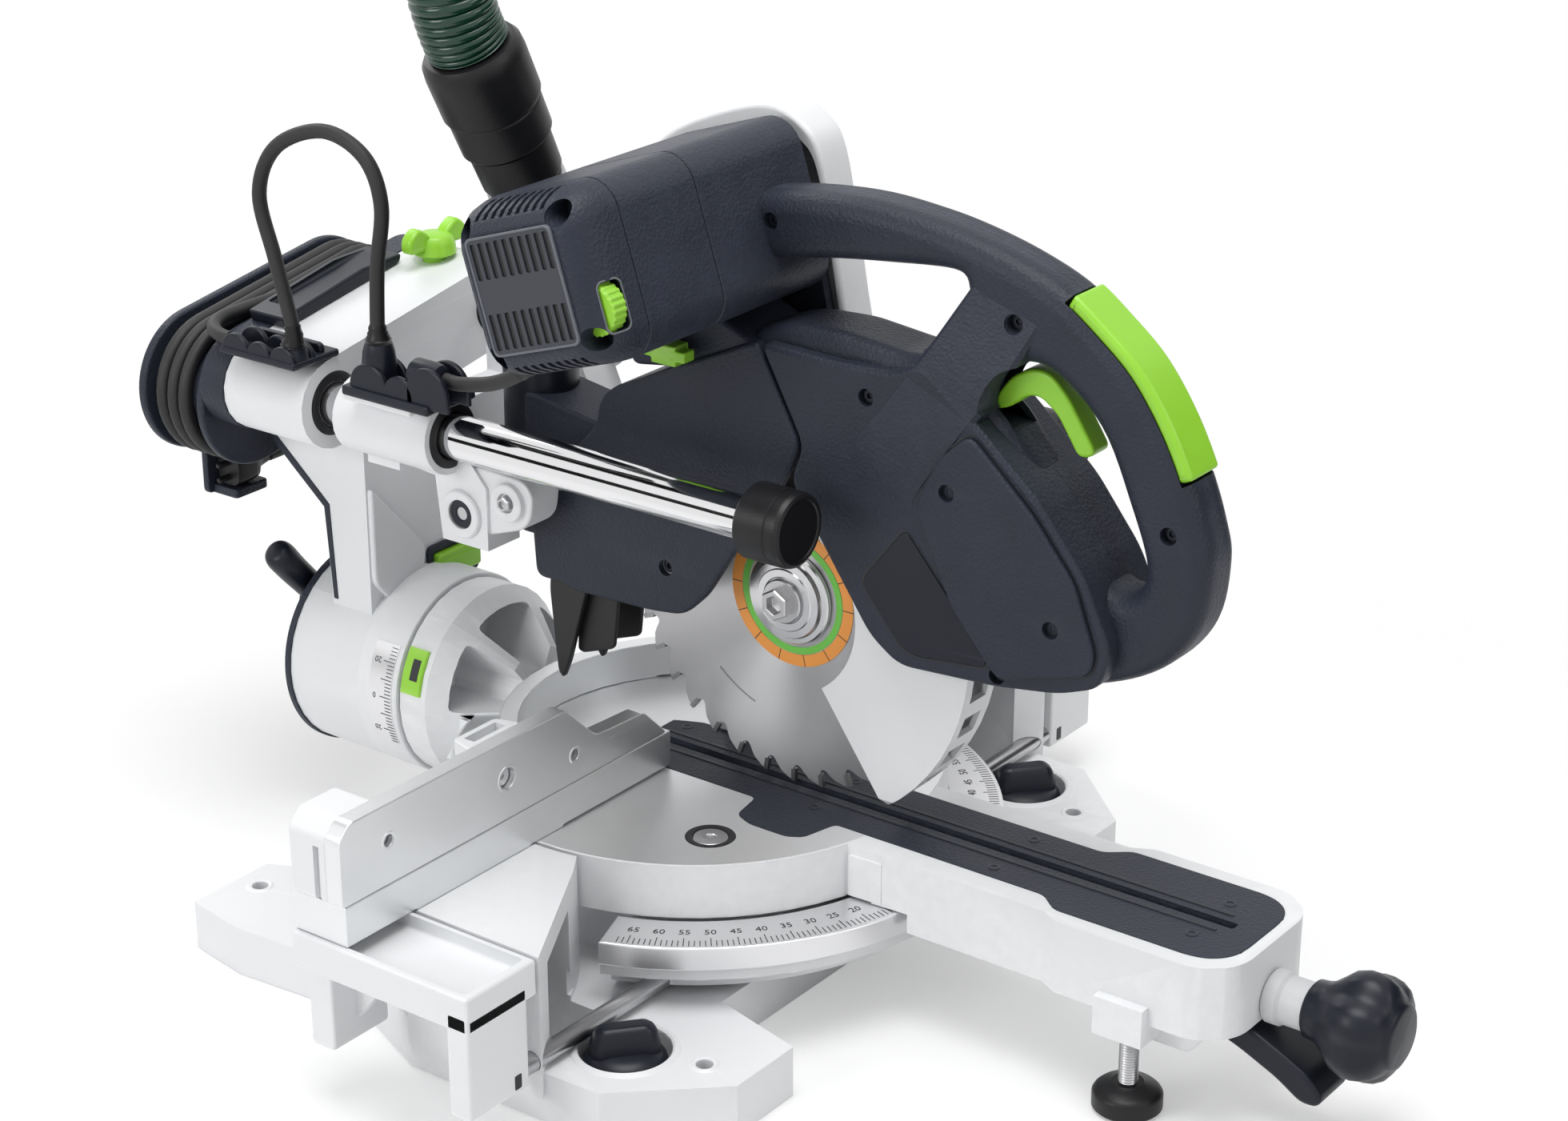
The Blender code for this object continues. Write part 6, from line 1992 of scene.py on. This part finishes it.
@dataclass
class Dust:
    """Dust duct, flap, hose cuff, hose and its coupling."""

    shop: Workshop
    start: Triple = (-19.0, 95.0, 306.0)
    lean: Triple = (-0.42, 0.04, 0.906)

    def build(self) -> None:
        """Build the dust path from the casing to the hose."""
        way = Vector(self.lean).normalized()
        start = Vector(self.start)
        route = [(0, 108, 157), (0, 108, 200), (-5, 106, 248), start - way * 24, start - way * 12,
                 start - way * 1.2]
        self.shop.piece("dust_duct_pipe", sweep(spline(route, 8), 21, 48), DARK_SMOOTH, "head",
                        ("dust_duct",))
        foot = plate(Axis.X, (-20, 20), soft_corners([(52, 160), (50, 186), (104, 194), (108, 157),
                                                      (84, 152)], 4), (), 2, 3)
        self.shop.piece("dust_duct_foot", foot, DARK, "head")
        self.cuff(start, way)
        self.hose(start, way)
        self.flaps()

    def cuff(self, start: Vector, way: Vector) -> None:
        """The stepped hose cuff with its pale lock ring."""
        profile = [(18, 0.3), (19.6, 0.3), (20, 0.8), (20, 9), (19.2, 9.8), (19.2, 11), (21.4, 11.8),
                   (22, 13), (22.6, 33), (22.4, 34), (21.8, 34.4), (21.8, 35.6), (24.4, 36), (25, 37),
                   (25.4, 55), (25, 56), (24.6, 56.4), (24.6, 57.4), (26.2, 58), (27, 60), (27.4, 84),
                   (26.8, 90), (24.5, 93.4), (22, 94), (18, 94), (18, 0.3)]
        self.shop.piece("hose_cuff_turned", lathe(start, way, profile, 72), BLACK, "head", ("hose_cuff",))
        ring = lathe(start, way, [(19.5, 1.5), (21.2, 1.5), (21.6, 2), (21.6, 7), (21.2, 7.6),
                                  (19.5, 7.6), (19.5, 1.5)], 72)
        self.shop.piece("hose_lock_ring", ring, PALE, "head")

    def hose(self, start: Vector, way: Vector) -> None:
        """The ribbed hose between its cuff and its end coupling."""
        first = start + way * 95.2
        path = spline([first, first + way * 14, (-71, 101, 428), (-74, 104, 456)], 96)
        ribs = 14
        radii = []
        for i in range(len(path)):
            phase = (i / (len(path) - 1) * ribs) % 1.0
            radii.append(20.2 + 1.8 * math.sqrt(max(0.0, math.sin(math.pi * phase))))
        self.shop.piece("suction_hose_ribbed", sweep(path, radii, 56), HOSE, "head", ("suction_hose",),
                        sharp=60)
        last = path[-1]
        heading = (path[-1] - path[-2]).normalized()
        profile = [(18, 1.2), (23.4, 1.2), (24, 2), (24, 22), (23, 24.5), (21.2, 26), (21, 27), (21, 35),
                   (20.2, 36.2), (18, 37.2), (18, 1.2)]
        self.shop.piece("hose_coupling_turned", lathe(last, heading, profile, 64), BLACK, "head",
                        ("hose_coupling",))

    def flaps(self) -> None:
        """The rubber flaps behind the blade, with their clamp strip."""
        wide = [(61, 92.7), (89, 92.7), (90, 80), (85.5, 32), (82, 28), (77, 40), (64, 84)]
        short = [(45, 92.7), (74, 92.7), (76, 45), (72, 44), (50, 52)]
        for i, limits in enumerate(((-19, -15), (15, 19))):
            leaf = plate(Axis.X, limits, soft_corners(wide, 3), (), 1.0, 2)
            self.shop.piece(f"dust_flap_leaf_{i}", leaf, RUBBER, "head", ("dust_flap",))
        for i, limits in enumerate(((-12.6, -9.6), (9.6, 12.6))):
            leaf = plate(Axis.X, limits, soft_corners(short, 3), (), 0.9, 2)
            self.shop.piece(f"dust_flap_brush_{i}", leaf, RUBBER, "head", ("dust_flap",))
        web = plate(Axis.X, (-15.4, 15.4),
                    soft_corners([(74, 92.7), (84, 92.7), (84, 74), (81, 60), (76, 60)], 2), (), 0.8, 2)
        self.shop.piece("dust_flap_web", web, RUBBER, "head", ("dust_flap",))


@dataclass
class Latch:
    """Depth stop latch under the motor."""

    shop: Workshop

    def build(self) -> None:
        """Build the latch."""
        self.shop.refined("depth_stop", LIME, 1.2, 3)


@dataclass
class Blade:
    """Saw blade with its ring, flange, bolt and the lower guard."""

    shop: Workshop
    arbor: Pair = (-64.0, 109.0)
    radius: float = 108.0
    half: float = 1.3
    bore: float = 15.0
    teeth: int = 36
    rings: tuple[Pair, ...] = ((28.8, 32.6), (33.0, 39.6))

    def build(self) -> None:
        """Build the blade and its guard."""
        self.disc()
        self.printing()
        self.flange()
        self.guard()

    def centred(self, profile: Sequence[Pair], sides: int, x: float = 0.0) -> bmesh.types.BMesh:
        """A piece turned about the arbor, with distances counted to the left from x."""
        return lathe((x, *self.arbor), (-1, 0, 0), profile, sides)

    def disc(self) -> None:
        """The toothed disc, its carbide tips and its expansion slots."""
        pitch = 360 / self.teeth
        outline = []
        for tooth in range(self.teeth):
            a = tooth * pitch
            for share, depth in ((0.0, 0.4), (0.16, 1.4), (0.40, 3.6), (0.56, 6.4), (0.66, 8.6),
                                 (0.76, 9.8), (0.86, 9.6), (0.94, 8.0), (0.985, 5.0)):
                outline += arc(self.arbor, self.radius - depth, a + share * pitch, a, 1)[:1]
        slots = []
        for k in range(4):
            slots.append(sector(self.arbor, (72, 73.1), 90 * k + 20, 90 * k + 42, 14))
        plain = plate(Axis.X, (-self.half + 0.35, self.half - 0.35), outline,
                      [arc(self.arbor, self.bore, 0, 352, 44), *slots])
        self.shop.piece("saw_blade_disc", plain, BLADE, "blade", ("saw_blade",), origin=(0, *self.arbor))
        tips = bmesh.new()
        for tooth in range(self.teeth):
            a = math.radians(tooth * pitch)
            tip = box((-self.half, self.half), (self.radius - 7.0, self.radius), (-2.0, 0.5))
            turn = Matrix.Translation((0, *self.arbor)) @ Matrix.Rotation(a, 4, "X")
            tips = merged(tips, moved(tip, turn))
        self.shop.piece("saw_blade_tips", tips, CARBIDE, "blade")

    def printing(self) -> None:
        """The blade's coloured rings, with fine gaps in the outer one."""
        inner, outer = self.rings
        for name, (a, b), finish in (("green", inner, GREEN_INK), ("orange", outer, ORANGE)):
            ring = plate(Axis.X, (-self.half - 0.02, -self.half + 0.5), arc(self.arbor, b, 0, 355, 71),
                         [arc(self.arbor, a, 0, 355, 71)])
            self.shop.piece(f"blade_ring_{name}", ring, finish, "blade")
        marks = bmesh.new()
        for k in range(14):
            turn = Matrix.Translation((0, *self.arbor)) @ Matrix.Rotation(2 * math.pi * k / 14, 4, "X")
            line = box((-self.half - 0.05, -self.half + 0.4), (outer[0], outer[1]), (-0.25, 0.25))
            marks = merged(marks, moved(line, turn))
        self.shop.piece("blade_ring_marks", marks, INK, "blade")

    def flange(self) -> None:
        """The stepped outer flange and its bolt."""
        profile = [(5.3, 1.6), (25.4, 1.6), (26, 2.2), (26, 4.4), (25.2, 5.2), (22.6, 5.6), (22, 6.4),
                   (21.4, 7.6), (17.6, 8.2), (17, 8.9), (13.2, 9), (12.6, 8.4), (5.3, 8.4), (5.3, 1.6)]
        self.shop.piece("outer_flange_turned", self.centred(profile, 96), TURNED, "blade",
                        ("outer_flange",), origin=(0, *self.arbor))
        washer = self.centred([(5.3, 8.2), (11.8, 8.2), (12.2, 8.6), (12.2, 10.6), (11.6, 11.2),
                               (5.3, 11.2), (5.3, 8.2)], 64)
        self.shop.piece("flange_washer", washer, STEEL, "blade")
        head = self.centred([(5, 10), (8.6, 10), (9, 10.4), (9, 17), (8.2, 18), (5.6, 18), (5.2, 17.4),
                             (4.6, 13.6), (0, 13.4)], 6)
        shank = self.centred([(0, -22), (5, -22), (5, 12), (0, 12)], 32)
        self.shop.piece("blade_bolt_head", merged(head, shank), STEEL, "blade", ("blade_bolt",), 0.3, 2)

    def guard(self) -> None:
        """The white lower guard with slots along its rim."""
        slots = []
        for k in range(9):
            start = 132 + 11 * k
            slots.append(plate(Axis.X, (-7.5, 7.5),
                               sector(self.arbor, (114, 126), start, start + 6.5, 4)))
        self.shop.refined("lower_guard", WHITE, 0.8, 2, slots)


def main() -> None:
    """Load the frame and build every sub-assembly."""
    logging.basicConfig(level=logging.INFO, format="%(name)s %(message)s")
    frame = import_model()
    shop = Workshop(frame)
    Stage().build()
    for assembly in (Cables(shop), Base(shop), Turntable(shop), TiltArm(shop), Carriage(shop),
                     Casing(shop), Motor(shop), Dust(shop), Latch(shop), Blade(shop)):
        assembly.build()
        LOG.info("%s done", type(assembly).__name__)


if __name__ == "__main__":
    main()
